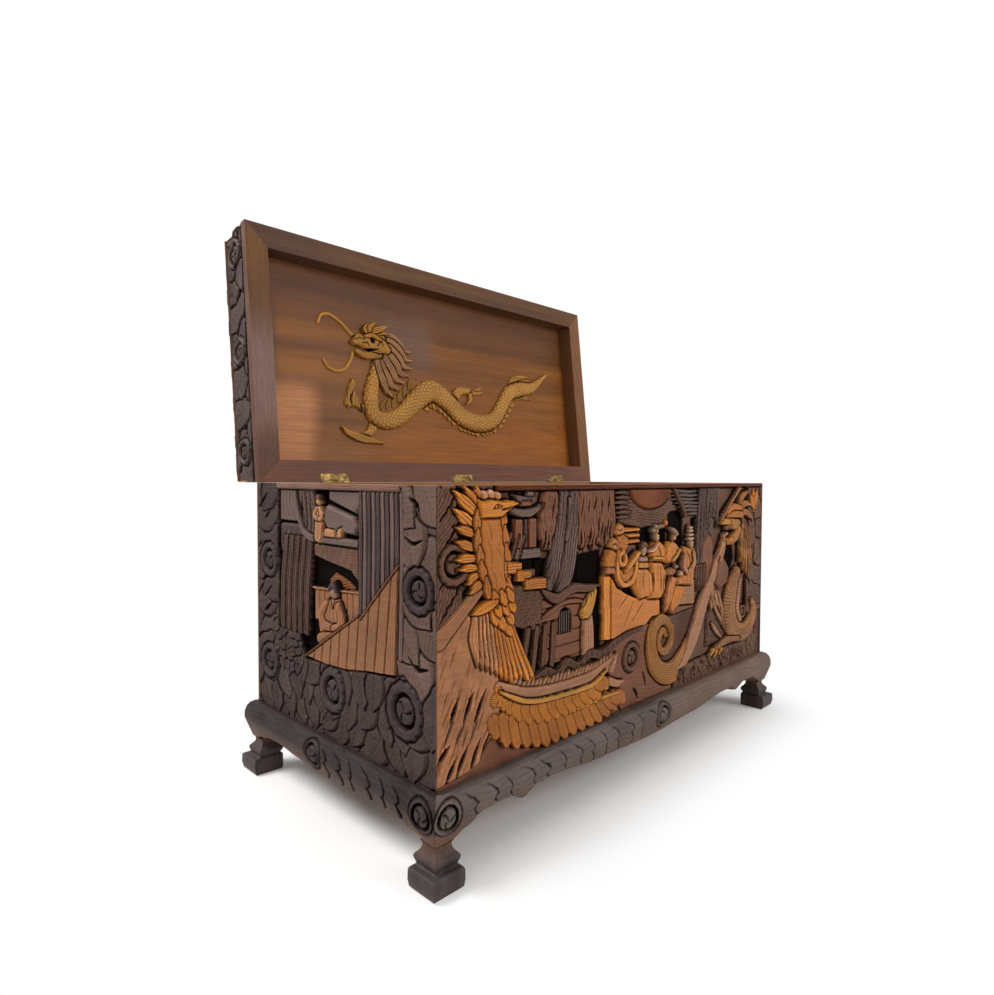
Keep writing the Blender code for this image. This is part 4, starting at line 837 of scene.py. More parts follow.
def front_party(c):
    """Robed figures on a plank boat."""
    # Gaps between the figures, sunk and blackened with painted shade
    for outline in (((-66, 240), (-44, 246), (-24, 200), (-46, 206)),
                    ((74, 246), (104, 228), (84, 190), (56, 152), (48, 166), (60, 211)),
                    ((-60, 308), (-56, 322), (-16, 322), (-10, 306))):
        c.plate(outline, -14, -2, SHADE_BLACK)
    c.plate([(-137, 262), (-116, 260), (-114, 139), (-134, 142)], -10, 7, "#bd7430", 2, lines=(90, 8, 0.3))
    c.plate([(-112, 258), (-95, 234), (-58, 216), (-31, 206), (38, 195), (55, 197), (54, 159), (26, 160),
             (-5, 144), (-111, 138)], -10, 7, "#b06a2e", 3, lumps(40, 0.8, 42), 1.0, (38, 9, 0.2))
    for path in (((-58, 215), (-74, 204), (-90, 192)), ((-40, 202), (-54, 182), (-72, 160)),
                 ((-6, 196), (-22, 182), (-44, 164))):
        c.gouge([(*path[0], 0.6), (*path[1], 1.4), (*path[2], 0.6)], 2.5, UMBER)
    # Hull with a striped side, a slanting board and a prow
    c.plate([(100, 156), (112, 171), (164, 166), (196, 163), (194, 150), (104, 150)], -9, 5, RUSSET, 3)
    c.plate([(150, 226), (196, 217), (196, 163), (118, 170), (132, 196)], -10, 6, PINK, 3,
            boards(90, 6, 1.4, 1.6), 0.9)
    c.plate([(117, 214), (157, 206), (129, 170), (97, 156), (94, 180)], -8, 6, GOLD, 3, lines=(70, 7, 0.4))
    c.plate([(98, 236), (116, 228), (94, 182), (72, 156), (76, 196)], -7, 6, "#a8693a", 3,
            lines=(60, 6, 0.5))
    # Boards of a shelter
    for v in (335, 324, 313):
        c.plate([(-74, v - 4.5), (-72, v + 5), (-18, v + 3), (-14, v - 5)], -11, 6, GOLD, 2, None, 0.95,
                (-3, 5, 0.6))
    # Hooded figure at the post
    c.plate([(-136, 258), (-135, 288), (-128, 303), (-114, 306), (-102, 298), (-103, 278), (-108, 256)], -8,
            10, GOLD, 4, boards(-6, 14, 1.6), 1.05, (80, 5, 0.4))
    c.plate([(-137, 262), (-136, 273), (-108, 270), (-107, 259)], 0, 3, OCHRE, 2)
    c.plate([(-126, 310), (-118, 322), (-108, 326), (-97, 316), (-95, 297), (-112, 302)], -6, 9, "#a9703c",
            4)
    c.nick(0.8, 3, UMBER, (-118, 312, -108, 313, 1.8, -101, 304))
    # Figure behind, leaning to the right
    c.plate([(-97, 328), (-78, 330), (-56, 320), (-58, 304), (-74, 292), (-92, 300)], -9, 7, GOLD, 4,
            boards(78, 9, 1.8), 1.0, (10, 5, 0.5))
    c.plate([(-108, 332), (-100, 345), (-86, 350), (-77, 342), (-78, 329), (-95, 326)], -7, 9, "#b0723a", 4)
    c.nick(0.8, 2.5, UMBER, (-100, 338, -92, 336, 1.8, -86, 340))
    # Player with a ringed harp
    c.plate([(-102, 276), (-99, 252), (-80, 231), (-55, 234), (-41, 254), (-43, 272), (-70, 258),
             (-84, 266)], -8, 9, GOLD, 5, lambda u, v: 0.9 * np.sin(np.hypot(u + 70, v - 285) / 1.1), 1.05)
    c.ridge([(-98, 300, 3), (-102, 276, 5), (-97, 252, 5), (-80, 236, 5), (-56, 239, 5), (-42, 256, 5),
             (-39, 280, 3)], -1, 5, "#b8783a", "round", None, 1.0, ("along", 4, 0.4))
    c.ridge([(-84, 297, 4), (-95, 291, 4), (-95, 280, 4), (-84, 273, 4), (-76, 281, 4), (-78, 292, 3)], -3,
            8, "#b8783a", "round", None, 1.0, ("along", 4, 0.3))
    c.ridge([(-78, 260, 3), (-56, 275, 6), (-34, 291, 4)], -2, 8, "#b07038", lines=("along", 4, 0.5))
    c.nick(1, 6, SHADE_BLACK, (-74, 256, -54, 268, 2.6, -36, 282))
    # Figure in a wide skirt
    c.plate([(-33, 263), (2, 260), (18, 248), (23, 214), (8, 202), (-22, 200), (-42, 228), (-38, 250)], -8,
            10, "#b47034", 5, boards(3, 16, 1.4, 2.6), 1.0, (86, 6, 0.4))
    c.nick(0.8, 4, UMBER, (-15, 256, -16, 242, 1.8, -15, 226))
    c.plate([(-30, 284), (0, 282), (1, 270), (-31, 272)], -2, 5, "#8d6450", 3)
    c.plate([(-34, 273), (1, 270), (1, 259), (-33, 262)], 0, 4, STRAW, 2, None, 0.95)
    c.ridge([(-13, 290, 7), (-11, 298, 8.5)], -6, 9, "#84684c", lines=UNCUT)
    c.ridge([(-20, 302, 3), (-10, 307, 4), (-2, 301, 3)], -2, 5, UMBER, lines=UNCUT)
    # Figure with a crown
    c.plate([(16, 271), (54, 268), (74, 243), (68, 209), (53, 192), (8, 197), (23, 216), (21, 246)], -9, 10,
            "#b47034", 5, boards(1, 14, 1.6, 2.6), 1.0, (88, 6, 0.4))
    # Deep folds blackened with painted shade
    for path in (((24, 246), (25, 230), (26, 214)), ((48, 258), (50, 230), (51, 200)),
                 ((62, 240), (60, 224), (58, 208))):
        c.gouge([(*path[0], 0.8), (*path[1], 2), (*path[2], 0.8)], 5, SHADE_BLACK)
    c.plate([(30, 309), (17, 298), (10, 283), (16, 270), (54, 266), (64, 282), (57, 301), (43, 310)], -5, 9,
            GOLD, 5, boards(20, 15, 1.4), 1.08)
    c.ridge([(2, 291, 2.6), (18, 293, 3.4), (32, 303, 2.6)], 1, 5, "#a87860", lines=UNCUT)
    c.ridge([(16, 277, 2.6), (36, 276, 3), (54, 273, 2.6)], 2, 4, STRAW, "flat", None, 0.95)
    c.nick(0.8, 2.5, UMBER, (30, 300, 40, 290, 1.6, 44, 280))
    c.ridge([(33, 314, 5.5), (33, 321, 6.5)], -4, 8, "#98785a", lines=UNCUT)
    for u, v, reach in ((25, 330, 4.5), (32, 337, 4.5), (36, 328, 4.5), (43, 335, 4), (51, 338, 3.6),
                        (58, 336, 3.2)):
        c.dome(u, v, reach, -5, 7, "#8d7158")
    c.dome(75, 342, 6.5, -8, 6, "#a05a24")
    # Seated figure in a peaked hat
    c.plate([(60, 262), (72, 246), (92, 250), (112, 252), (118, 240), (104, 232), (84, 236)], -9, 7, OCHRE,
            4, boards(40, 10, 2))
    c.plate([(62, 266), (66, 290), (83, 304), (104, 305), (122, 290), (119, 273), (105, 260), (84, 259)],
            -7, 10, "#b26c30", 6, boards(12, 18, 1.4, 3), 1.05, (75, 6, 0.4))
    c.ridge([(116, 286, 3.4), (104, 274, 4.6), (88, 266, 3)], 1, 5, STRAW, "round", None, 0.9,
            ("along", 4, 0.4))
    c.ridge([(97, 311, 6), (101, 318, 7.5)], -5, 9, "#8d6a50", lines=UNCUT)
    c.ridge([(108, 318, 5), (98, 325, 6), (82, 332, 2)], -3, 7, "#7a5a48", lines=UNCUT)
    c.dome(109, 252, 4, -2, 6, "#98705a")
    c.dome(128, 236, 5.5, -2, 6, "#a88468")
    # Tall figure in a ringed hat
    c.plate([(141, 284), (150, 290), (187, 287), (191, 252), (184, 220), (177, 205), (120, 212), (116, 226),
             (142, 234), (130, 256)], -8, 9, "#ae6c34", 5, boards(-4, 15, 1.5, 2.6), 1.0, (84, 6, 0.4))
    c.ridge([(140, 272, 4), (136, 252, 6), (150, 236, 5)], -1, 6, "#9c6a4c", lines=("along", 4, 0.4))
    c.ridge([(176, 276, 4), (178, 252, 6), (158, 238, 4)], -1, 6, "#a87044", lines=("along", 4, 0.4))
    c.nick(0.8, 3, UMBER, (148, 282, 162, 266, 1.8, 166, 240))
    c.ridge([(168, 291, 6.5), (168, 298, 7.5)], -4, 8, "#8f6a50", lines=UNCUT)
    for v, reach in ((305, 9), (313, 7.5), (321, 6), (328, 4)):
        c.ridge([(168 - reach, v, 3.4), (168 + reach, v, 3.4)], -4, 6, "#93765e", lines=UNCUT)


def front_middle(c):
    """Smooth ground, the root band, the roundel and the comet that the dragon breathes."""
    c.plate([(-112, 0), (-112, 138), (20, 150), (60, 146), (110, 0)], -9, 3, RUSSET, 4, lumps(50, 1.5, 8),
            0.95, (4, 9, 0.3))
    c.plate([(52, 60), (84, 152), (210, 158), (190, 90), (120, 56)], -12, 4, UMBER, 4, boards(84, 9, 0.6),
            1.0, (70, 4, 0.7))
    c.ridge([(-330, 106, 5), (-292, 120, 7), (-262, 110, 7), (-236, 124, 8), (-206, 112, 7), (-176, 126, 8),
             (-140, 120, 8), (-100, 132, 7), (-60, 142, 5), (-10, 146, 3)], -9, 7, UMBER, "flat",
            lumps_along(16, 1.6), 0.9, ("along", 4, 0.8))
    c.roundel(-43, 95, 29, UMBER, -9)
    # Cuts blackened with painted shade
    for path in (((-36, 34, 1.5), (-26, 24, 4), (-20, 12, 1)), ((-90, 24, 1), (-84, 12, 3), (-76, 2, 1)),
                 ((-4, 60, 1), (4, 46, 3), (8, 30, 1))):
        c.gouge(path, 5, SHADE_BLACK)
    c.ridge([(184, 96, 16), (152, 62, 22), (112, 38, 24), (72, 40, 22), (38, 64, 20), (22, 100, 18),
             (28, 134, 15), (54, 150, 12), (80, 144, 10), (94, 124, 9)], -7, 9, "#925f2c", "round",
            strands(4.8, 1.6), line_net(4.8, 0.8), ("along", 4.8, 0.4))
    c.ridge([(100, 128, 8), (96, 100, 9), (76, 84, 9), (54, 94, 8), (50, 116, 8), (66, 128, 7),
             (78, 116, 5)], -8, 8, "#925f2c", "round", strands(4.8, 1.6), line_net(4.8, 0.8),
            ("along", 4.8, 0.4), 1.0)
    c.ridge([(338, 308, 3), (322, 300, 5), (300, 264, 8), (258, 206, 13), (226, 160, 17), (190, 104, 19),
             (162, 68, 15), (136, 48, 8), (112, 38, 1)], -7, 9, ROSE, "flat", None, 0.92, ("along", 8, 0.5),
            0)
    for u, v, turn in ((286, 226, 250), (272, 168, 262), (300, 150, 290)):
        c.leaf(u, v, turn, 60, 8, PINK, -8, 5)


def feathers(c, rib, length, first, last, half, stain_and_shade):
    """A row of rounded feathers under a rib, each lying on the one to its left."""
    places = np.array(rib, float)
    for i, u in enumerate(np.arange(first, last, 1.62 * half)):
        v = np.interp(u, places[:, 0], places[:, 1])
        reach = np.interp(u, places[:, 0], length)
        slant = np.interp(u, (-400, -240, -100), (2, 12, 26))
        c.ridge([(u - 3, v - 0.9 * half, 0.95 * half), (u + 0.4 * slant, v - 0.55 * reach, 1.05 * half),
                 (u + 0.75 * slant, v - reach + 0.95 * half, 0.98 * half),
                 (u + 0.9 * slant, v - reach + 0.62 * half, 0.7 * half)], (-2.6, -0.4), 3.0, stain_and_shade, "flat",
                vane(0.05), 0.9 + 0.05 * (i % 3), ("barbs", 3.4, 0.9), 0.5)


def phoenix(c):
    """The bird: crest, neck, ruff, fan of breast feathers, smooth body with gouge cuts and a two-row wing."""
    c.plate([(-523, 214), (-523, 420), (-470, 420), (-448, 400), (-446, 260), (-480, 226)], -11, 3, UMBER,
            3, lumps(26, 2, 9))
    c.plate([(-523, 214), (-523, 421), (-484, 421), (-478, 300), (-470, 250), (-490, 224)], -7, 5, UMBER, 3,
            lumps(18, 2.4, 37), 1.1, (55, 6, 0.7))
    # Cuts blackened with painted shade
    for i in range(17):
        u, v = -514 + 9 * (i % 4), 232 + 11.5 * i
        c.gouge([(u, v, 0.7), (u + 6, v + 8, 2.2), (u + 14, v + 14, 0.7)], 3.5, SHADE_BLACK)
    c.roundel(-486, 310, 32, UMBER, -8)

    def mottle(u, v):
        return 0.96 + lumps(34, 0.16, 39)(u, v) + lumps(9, 0.09, 40)(u + 0.45 * v, v * 0.25)

    # Smooth body, flush with the face, its lower edge in points
    c.plate([(-523, 25), (-523, 210), (-500, 215), (-485, 225), (-475, 240), (-452, 246), (-457, 235),
             (-455, 205), (-448, 190), (-445, 165), (-425, 155), (-405, 142), (-395, 128), (-393, 108),
             (-403, 58), (-416, 48), (-428, 30), (-440, 17), (-458, 12), (-478, 8), (-500, 6), (-523, 4)],
            -7, 6.5, BREAST, 3, lumps(45, 1.0, 10), mottle, (64, 11, 0.1))
    rng = np.random.default_rng(12)
    for _ in range(130):
        u, v = rng.uniform(-516, -402), rng.uniform(16, 228)
        reach = rng.uniform(7, 16)
        if v < 150 - 0.9 * (u + 450):
            c.gouge([(u + 0.45 * reach, v + reach, 0.5), (u, v, 1.3), (u - 0.45 * reach, v - reach, 0.5)],
                    rng.uniform(1.2, 2.6))
    c.ridge([(-418, 292, 6), (-440, 270, 9), (-474, 242, 11), (-516, 208, 14)], -5, 5, BREAST, "flat", None,
            1.04, ("along", 4, 0.7), 0.6)
    # Deep cuts in the body, blackened with painted shade, each with a shallower brown cut beside it
    for path in (((-480, 124), (-496, 88)), ((-452, 124), (-472, 86)), ((-428, 124), (-449, 78)),
                 ((-497, 60), (-520, 36)), ((-462, 52), (-486, 10)), ((-438, 54), (-460, 8)),
                 ((-484, 40), (-506, 4)), ((-418, 60), (-440, 14))):
        (au, av), (bu, bv) = path
        c.gouge([(au, av, 0.6), (0.5 * (au + bu) - 1, 0.5 * (av + bv), 4.2), (bu, bv, 0.6)], 9, SHADE_BLACK)
        c.gouge([(bu + 6, bv + 4, 0.5), (bu - 4, bv - 12, 2.6), (bu - 12, bv - 28, 0.5)], 2.5, UMBER)
    c.plate([(-523, -4), (-523, 4), (-478, 8), (-440, 17), (-403, 58), (-372, 24), (-330, 8), (-290, -4)],
            -8, 3, RUSSET, 3, lumps(40, 1.5, 38), 0.85, (20, 7, 0.3))
    # Crest of flame-shaped feathers
    for root_u, root_v, tip_u, tip_v, half in ((-440, 405, -452, 421, 5), (-450, 400, -475, 420, 6),
                                               (-456, 387, -492, 413, 9), (-458, 366, -492, 388, 9),
                                               (-458, 354, -488, 362, 7), (-458, 334, -487, 342, 7),
                                               (-458, 318, -487, 316, 7), (-452, 304, -482, 302, 6),
                                               (-452, 292, -466, 279, 7), (-440, 280, -463, 265, 7)):
        mid = (0.62 * root_u + 0.38 * tip_u, 0.62 * root_v + 0.38 * tip_v, half)
        late = (0.25 * root_u + 0.75 * tip_u, 0.25 * root_v + 0.75 * tip_v, 0.55 * half)
        c.ridge([(root_u + 4, root_v - 2, half * 0.9), mid, late, (tip_u - 2, tip_v + 1, 0.4)], (-6, -2), 5,
                AMBER, "flat", None, line_net(0.7 * half, 0.75), ("along", 0.62 * half, 0.6))
    # Smooth neck, with slender leaves down both its edges
    c.ridge([(-420, 388, 19), (-415, 350, 24), (-408, 315, 24), (-405, 288, 20), (-398, 262, 22),
             (-394, 240, 20)], -5, 8, GOLD, "round", None, 0.84, ("along", 9, 0.08))
    for u, v, turn in ((-393, 366, 272), (-389, 340, 274), (-385, 314, 280), (-384, 286, 286),
                       (-379, 262, 282), (-447, 366, 266), (-446, 338, 268), (-440, 314, 276),
                       (-434, 292, 286), (-426, 268, 278)):
        c.leaf(u, v, turn, 36, 7, GOLD, -4, 5.5, None, 0.92)
    c.nick(1, 1.8, None, (-434, 372, -424, 358, 2.4, -420, 340), (-408, 364, -402, 346, 2.4, -404, 330),
           (-428, 340, -420, 322, 2.4, -420, 306), (-410, 328, -398, 312, 2.4, -398, 296),
           (-422, 300, -412, 284, 2.4, -410, 268), (-402, 288, -392, 272, 2.4, -392, 256),
           (-414, 262, -404, 250, 2.2, -402, 238))
    # Head and beak
    for u, v in ((-430, 405), (-416, 406), (-403, 404)):
        c.dome(u, v, 7, -6, 7, ROSE)
    c.plate([(-446, 403), (-436, 398), (-420, 400), (-396, 397), (-380, 398), (-365, 396), (-352, 391),
             (-366, 388), (-378, 382), (-388, 377), (-396, 372), (-412, 371), (-440, 372)], -4, 7, AMBER, 4)
    c.nick(0.8, 3, SHADE_BLACK, (-417, 386, -408, 389, 4.4, -398, 388))
    c.ridge([(-412, 387.5, 1.2), (-407.5, 389, 2.8), (-402, 388.4, 1.2)], 1, 2, AMBER, "barrel", None, 0.9,
            ("along", 3, 0), 0)
    c.dome(-407, 389, 1.6, 1, 2, SHADE_BLACK)
    c.gouge([(-398, 384, 1.6), (-376, 387, 1.2), (-358, 390, 0.7)], 3, SHADE_BLACK)
    # Stepped planks beside the breast
    for low_u, high_u, low_v, high_v in ((-384, -350, 286, 305), (-362, -328, 272, 290),
                                         (-344, -292, 257, 275)):
        c.plate([(low_u, low_v), (low_u, high_v), (high_u, high_v - 3), (high_u, low_v - 3)], -8, 7, GOLD,
                2, None, 1.05, (-4, 4.2, 0.9))
    # Fan of long breast feathers, the far ones first
    tips = ((-322, 107), (-336, 111), (-350, 112), (-363, 117), (-375, 121), (-387, 128), (-398, 133),
            (-408, 142), (-418, 146), (-428, 152), (-438, 156), (-448, 162))
    for i, (tip_u, tip_v) in enumerate(tips):
        share = i / (len(tips) - 1)
        root_u = -374 - 76 * share
        root_v = 206 + 28 * math.sin(0.5 * math.pi * share)
        mid = (0.55 * root_u + 0.45 * tip_u - 5, 0.5 * root_v + 0.5 * tip_v + 5, 8.4)
        late = (0.2 * root_u + 0.8 * tip_u - 1, 0.2 * root_v + 0.8 * tip_v, 5.4)
        stain_and_shade = AMBER if i < 4 else GOLD if i < 7 else "#a26a42"
        c.ridge([(root_u, root_v, 5), mid, late, (tip_u, tip_v - 3, 0.4)], (-5, -2), 6, stain_and_shade, "flat",
                vane(-0.1), 1.0 + 0.12 * (i % 2), ("along", 7.0, 0.6), 1.8)
    # Ruff of scale leaves
    for u, v, turn, reach in ((-385, 205, 296, 26), (-399, 216, 290, 26), (-381, 220, 296, 24),
                              (-414, 226, 284, 26), (-407, 236, 286, 25), (-391, 236, 292, 24),
                              (-377, 238, 298, 22), (-412, 252, 284, 24), (-396, 252, 290, 24),
                              (-381, 254, 296, 22)):
        c.leaf(u, v, turn, reach, 7.5, AMBER, -1, 6, barbs(6, 1.0, 0.8))
    c.leaf(-434, 243, 193, 54, 8, AMBER, -2, 6, barbs(8, 1.0, 0.8))
    # Wing: pale band with a spiky fringe, then two ribs with their feathers
    for u in np.arange(-366, -112, 10.0):
        level = np.interp(u, (-366, -340, -240, -160, -112), (120, 108, 101, 102, 110))
        c.leaf(u, level, rng.uniform(48, 80), rng.uniform(16, 30), rng.uniform(3, 5), PINK, -7, 6,
               strands(4, 0.6), 0.95)
    c.ridge([(-402, 120, 9), (-370, 104, 13), (-340, 93, 14), (-290, 85, 14), (-220, 82, 14),
             (-165, 85, 13), (-122, 98, 10), (-103, 112, 2)], -6, 6, ROSE, "flat", None, 1.0,
            ("barbs", 5.5, 0.5), 1.0)
    low_rib = ((-416, 84), (-385, 80), (-345, 66), (-300, 58), (-225, 56), (-160, 54), (-92, 47))
    feathers(c, low_rib, (34, 56, 54, 58, 56, 52, 26), -410, -96, 13.5, GOLD)
    c.ridge([(-240, 41, 2), (-200, 43, 3.6), (-140, 44, 3.6), (-98, 43, 2)], -1, 5, STRAW, "flat")
    high_rib = ((-402, 114), (-370, 97), (-340, 85), (-300, 78), (-250, 75), (-200, 73), (-170, 75),
                (-134, 91))
    feathers(c, high_rib, (22, 34, 37, 38, 37, 34, 32, 26), -404, -134, 13.0, AMBER)
    c.ridge([(u, v, 4.2 if -390 < u < -160 else 2) for u, v in high_rib], -1, 6, STRAW, "flat")
    c.ridge([(-116, 66, 8), (-96, 58, 7), (-74, 58, 1.5)], -6, 7, ROSE, "flat", strands(5, 1))
    c.ridge([(-114, 88, 8), (-104, 102, 6), (-96, 114, 1.5)], -6, 7, ROSE, "flat", strands(5, 1))


def beast(c):
    """The dragon on the right, in its leaves."""
    c.leaves([(440, 108), (448, 200), (462, 262), (444, 412), (523, 412), (523, 108)], 58, 11, UMBER, 275,
             -1.5, 0.05, 1.2)
    c.plate([(112, -4), (120, 38), (250, 42), (424, 44), (440, 70), (526, 112), (526, -4)], -9, 4, UMBER, 4)
    rng = np.random.default_rng(14)
    for _ in range(150):
        u = rng.uniform(122, 516)
        v = rng.uniform(2, 36 if u < 430 else 92)
        reach, way = rng.uniform(5, 13), math.radians(rng.uniform(20, 150))
        du, dv = reach * math.cos(way), reach * math.sin(way)
        c.gouge([(u - du, v - dv, 0.6), (u + 0.3 * dv, v - 0.3 * du, 2.2), (u + du, v + dv, 0.6)],
                rng.uniform(2, 4.5))
    # A sunk hollow blackened with painted shade
    c.plate([(322, 236), (330, 290), (376, 292), (392, 244), (372, 214)], -15, -3, SHADE_BLACK)
    c.plate([(292, 196), (304, 238), (334, 252), (360, 226), (352, 190), (316, 180)], -10, 5, RUSSET, 5)
    c.plate([(252, 60), (258, 132), (300, 146), (346, 76), (330, 58)], -11, 4, UMBER, 5, lumps(18, 2, 14),
            1.0, (60, 5, 0.8))
    for path in (((266, 176, 3), (296, 132, 5), (336, 92, 5), (368, 66, 2)),
                 ((300, 178, 3), (318, 140, 6), (326, 110, 5), (332, 90, 2)),
                 ((272, 110, 3), (290, 92, 6), (316, 72, 3))):
        c.ridge(path, -8, 6, PINK, "flat", None, 0.9)
    # Body, coiling up to the right at its foot
    c.ridge([(392, 214, 12), (374, 184, 24), (360, 146, 30), (362, 108, 31), (384, 78, 27), (420, 66, 22),
             (452, 72, 19), (476, 94, 17), (480, 120, 13), (466, 138, 6)], -8, 11, "#93633a", "round",
            rings(5.5, 1.8), 1.0, ("across", 5.5, 0.9))
    c.ridge([(400, 196, 6), (390, 160, 8), (386, 126, 8), (402, 100, 6)], -1, 5, ROSE, "flat", None, 0.95,
            ("across", 7, 0.9))
    c.roundel(428, 114, 17, UMBER, -9)
    c.ridge([(256, 40, 2), (306, 54, 7), (344, 60, 9), (400, 56, 6)], -6, 8, OCHRE, "round", rings(9, 1.6),
            1.0, ("across", 9, 0.9))
    for u, v in ((262, 38), (278, 32), (300, 34)):
        c.ridge([(u + 14, v + 12, 4), (u, v, 1)], -5, 6, STRAW, "flat")
    # Mane
    for i, (u, v) in enumerate(((466, 262), (458, 236), (448, 218), (432, 206), (416, 214), (402, 236))):
        c.ridge([(402 + 4 * i % 9, 350 - 6 * i, 5),
                 (0.45 * 404 + 0.55 * u + 6, 0.55 * 320 + 0.45 * v + 10, 8), (u, v, 1)], (-5, -2), 7,
                "#9c6632" if i % 2 else OCHRE, "flat", strands(4, 1.2), line_net(4.4, 0.6),
                ("along", 4, 0.7))
    for path in (((398, 344, 6), (430, 352, 8), (470, 330, 1)),
                 ((396, 356, 6), (426, 372, 8), (462, 366, 1)),
                 ((390, 362, 6), (410, 388, 7), (440, 402, 1))):
        c.ridge(path, (-5, -3), 7, "#94602f", "flat", strands(4, 1.2), line_net(4.4, 0.6),
                ("along", 4, 0.7))
    for turn, reach in ((105, 56), (75, 52), (130, 44)):
        a = math.radians(turn)
        c.leaf(480 + 18 * math.cos(a), 362 + 18 * math.sin(a), turn, reach, 10, AMBER, -6, 6)
    # Head: brows, snout, open jaw and whiskers
    c.ridge([(334, 352, 5), (364, 364, 9), (398, 362, 8)], -4, 8, GOLD, "round", strands(5, 1))
    c.ridge([(330, 342, 5), (364, 348, 9), (404, 346, 9)], -3, 8, GOLD, "round", strands(5, 1))
    c.ridge([(302, 331, 4), (328, 333, 9), (362, 326, 13), (396, 322, 15)], -3, 10, "#a56a2e")
    c.ridge([(300, 332, 4), (318, 334, 7), (336, 332, 6)], 1, 6, STRAW)
    c.ridge([(320, 290, 5), (344, 288, 9), (372, 296, 12), (388, 312, 11)], -4, 9, "#a56a2e")
    c.ridge([(340, 290, 5), (352, 292, 6)], 2, 4, AMBER)
    # Open jaw and eye socket blackened with painted shade
    c.nick(1, 7, SHADE_BLACK, (322, 312, 346, 311, 4, 366, 314))
    c.dome(396, 331, 7, 2, 2, SHADE_BLACK, "dish")
    for u in (326, 336, 346):
        c.ridge([(u, 322, 3), (u - 1, 314, 0.8)], 0, 5, SKIN, "flat")
    c.ridge([(304, 338, 2.2), (346, 372, 2.8), (408, 418, 2.8)], -5, 8, PINK, "flat")
    c.ridge([(318, 302, 4), (322, 274, 4), (306, 246, 4)], -6, 7, PINK, "flat")


def carve_front():
    u, v = square_grid(-HALF_LENGTH, HALF_LENGTH, 0, WALL_HEIGHT, 1.3)
    c = Carving(u, v, -11, UMBER)
    front_scenery(c)
    front_party(c)
    front_middle(c)
    phoenix(c)
    beast(c)
    # Plain lip under the rim
    c.plate([(-404, 411), (-404, 422), (525, 422), (525, 411)], -3, 3, "#52240c", 3, None, 0.9, (0, 5, 0.4))
    c.square_ends(HALF_LENGTH, 7)
    return c


# The ends: a garden scene in a border of leaves and roundels

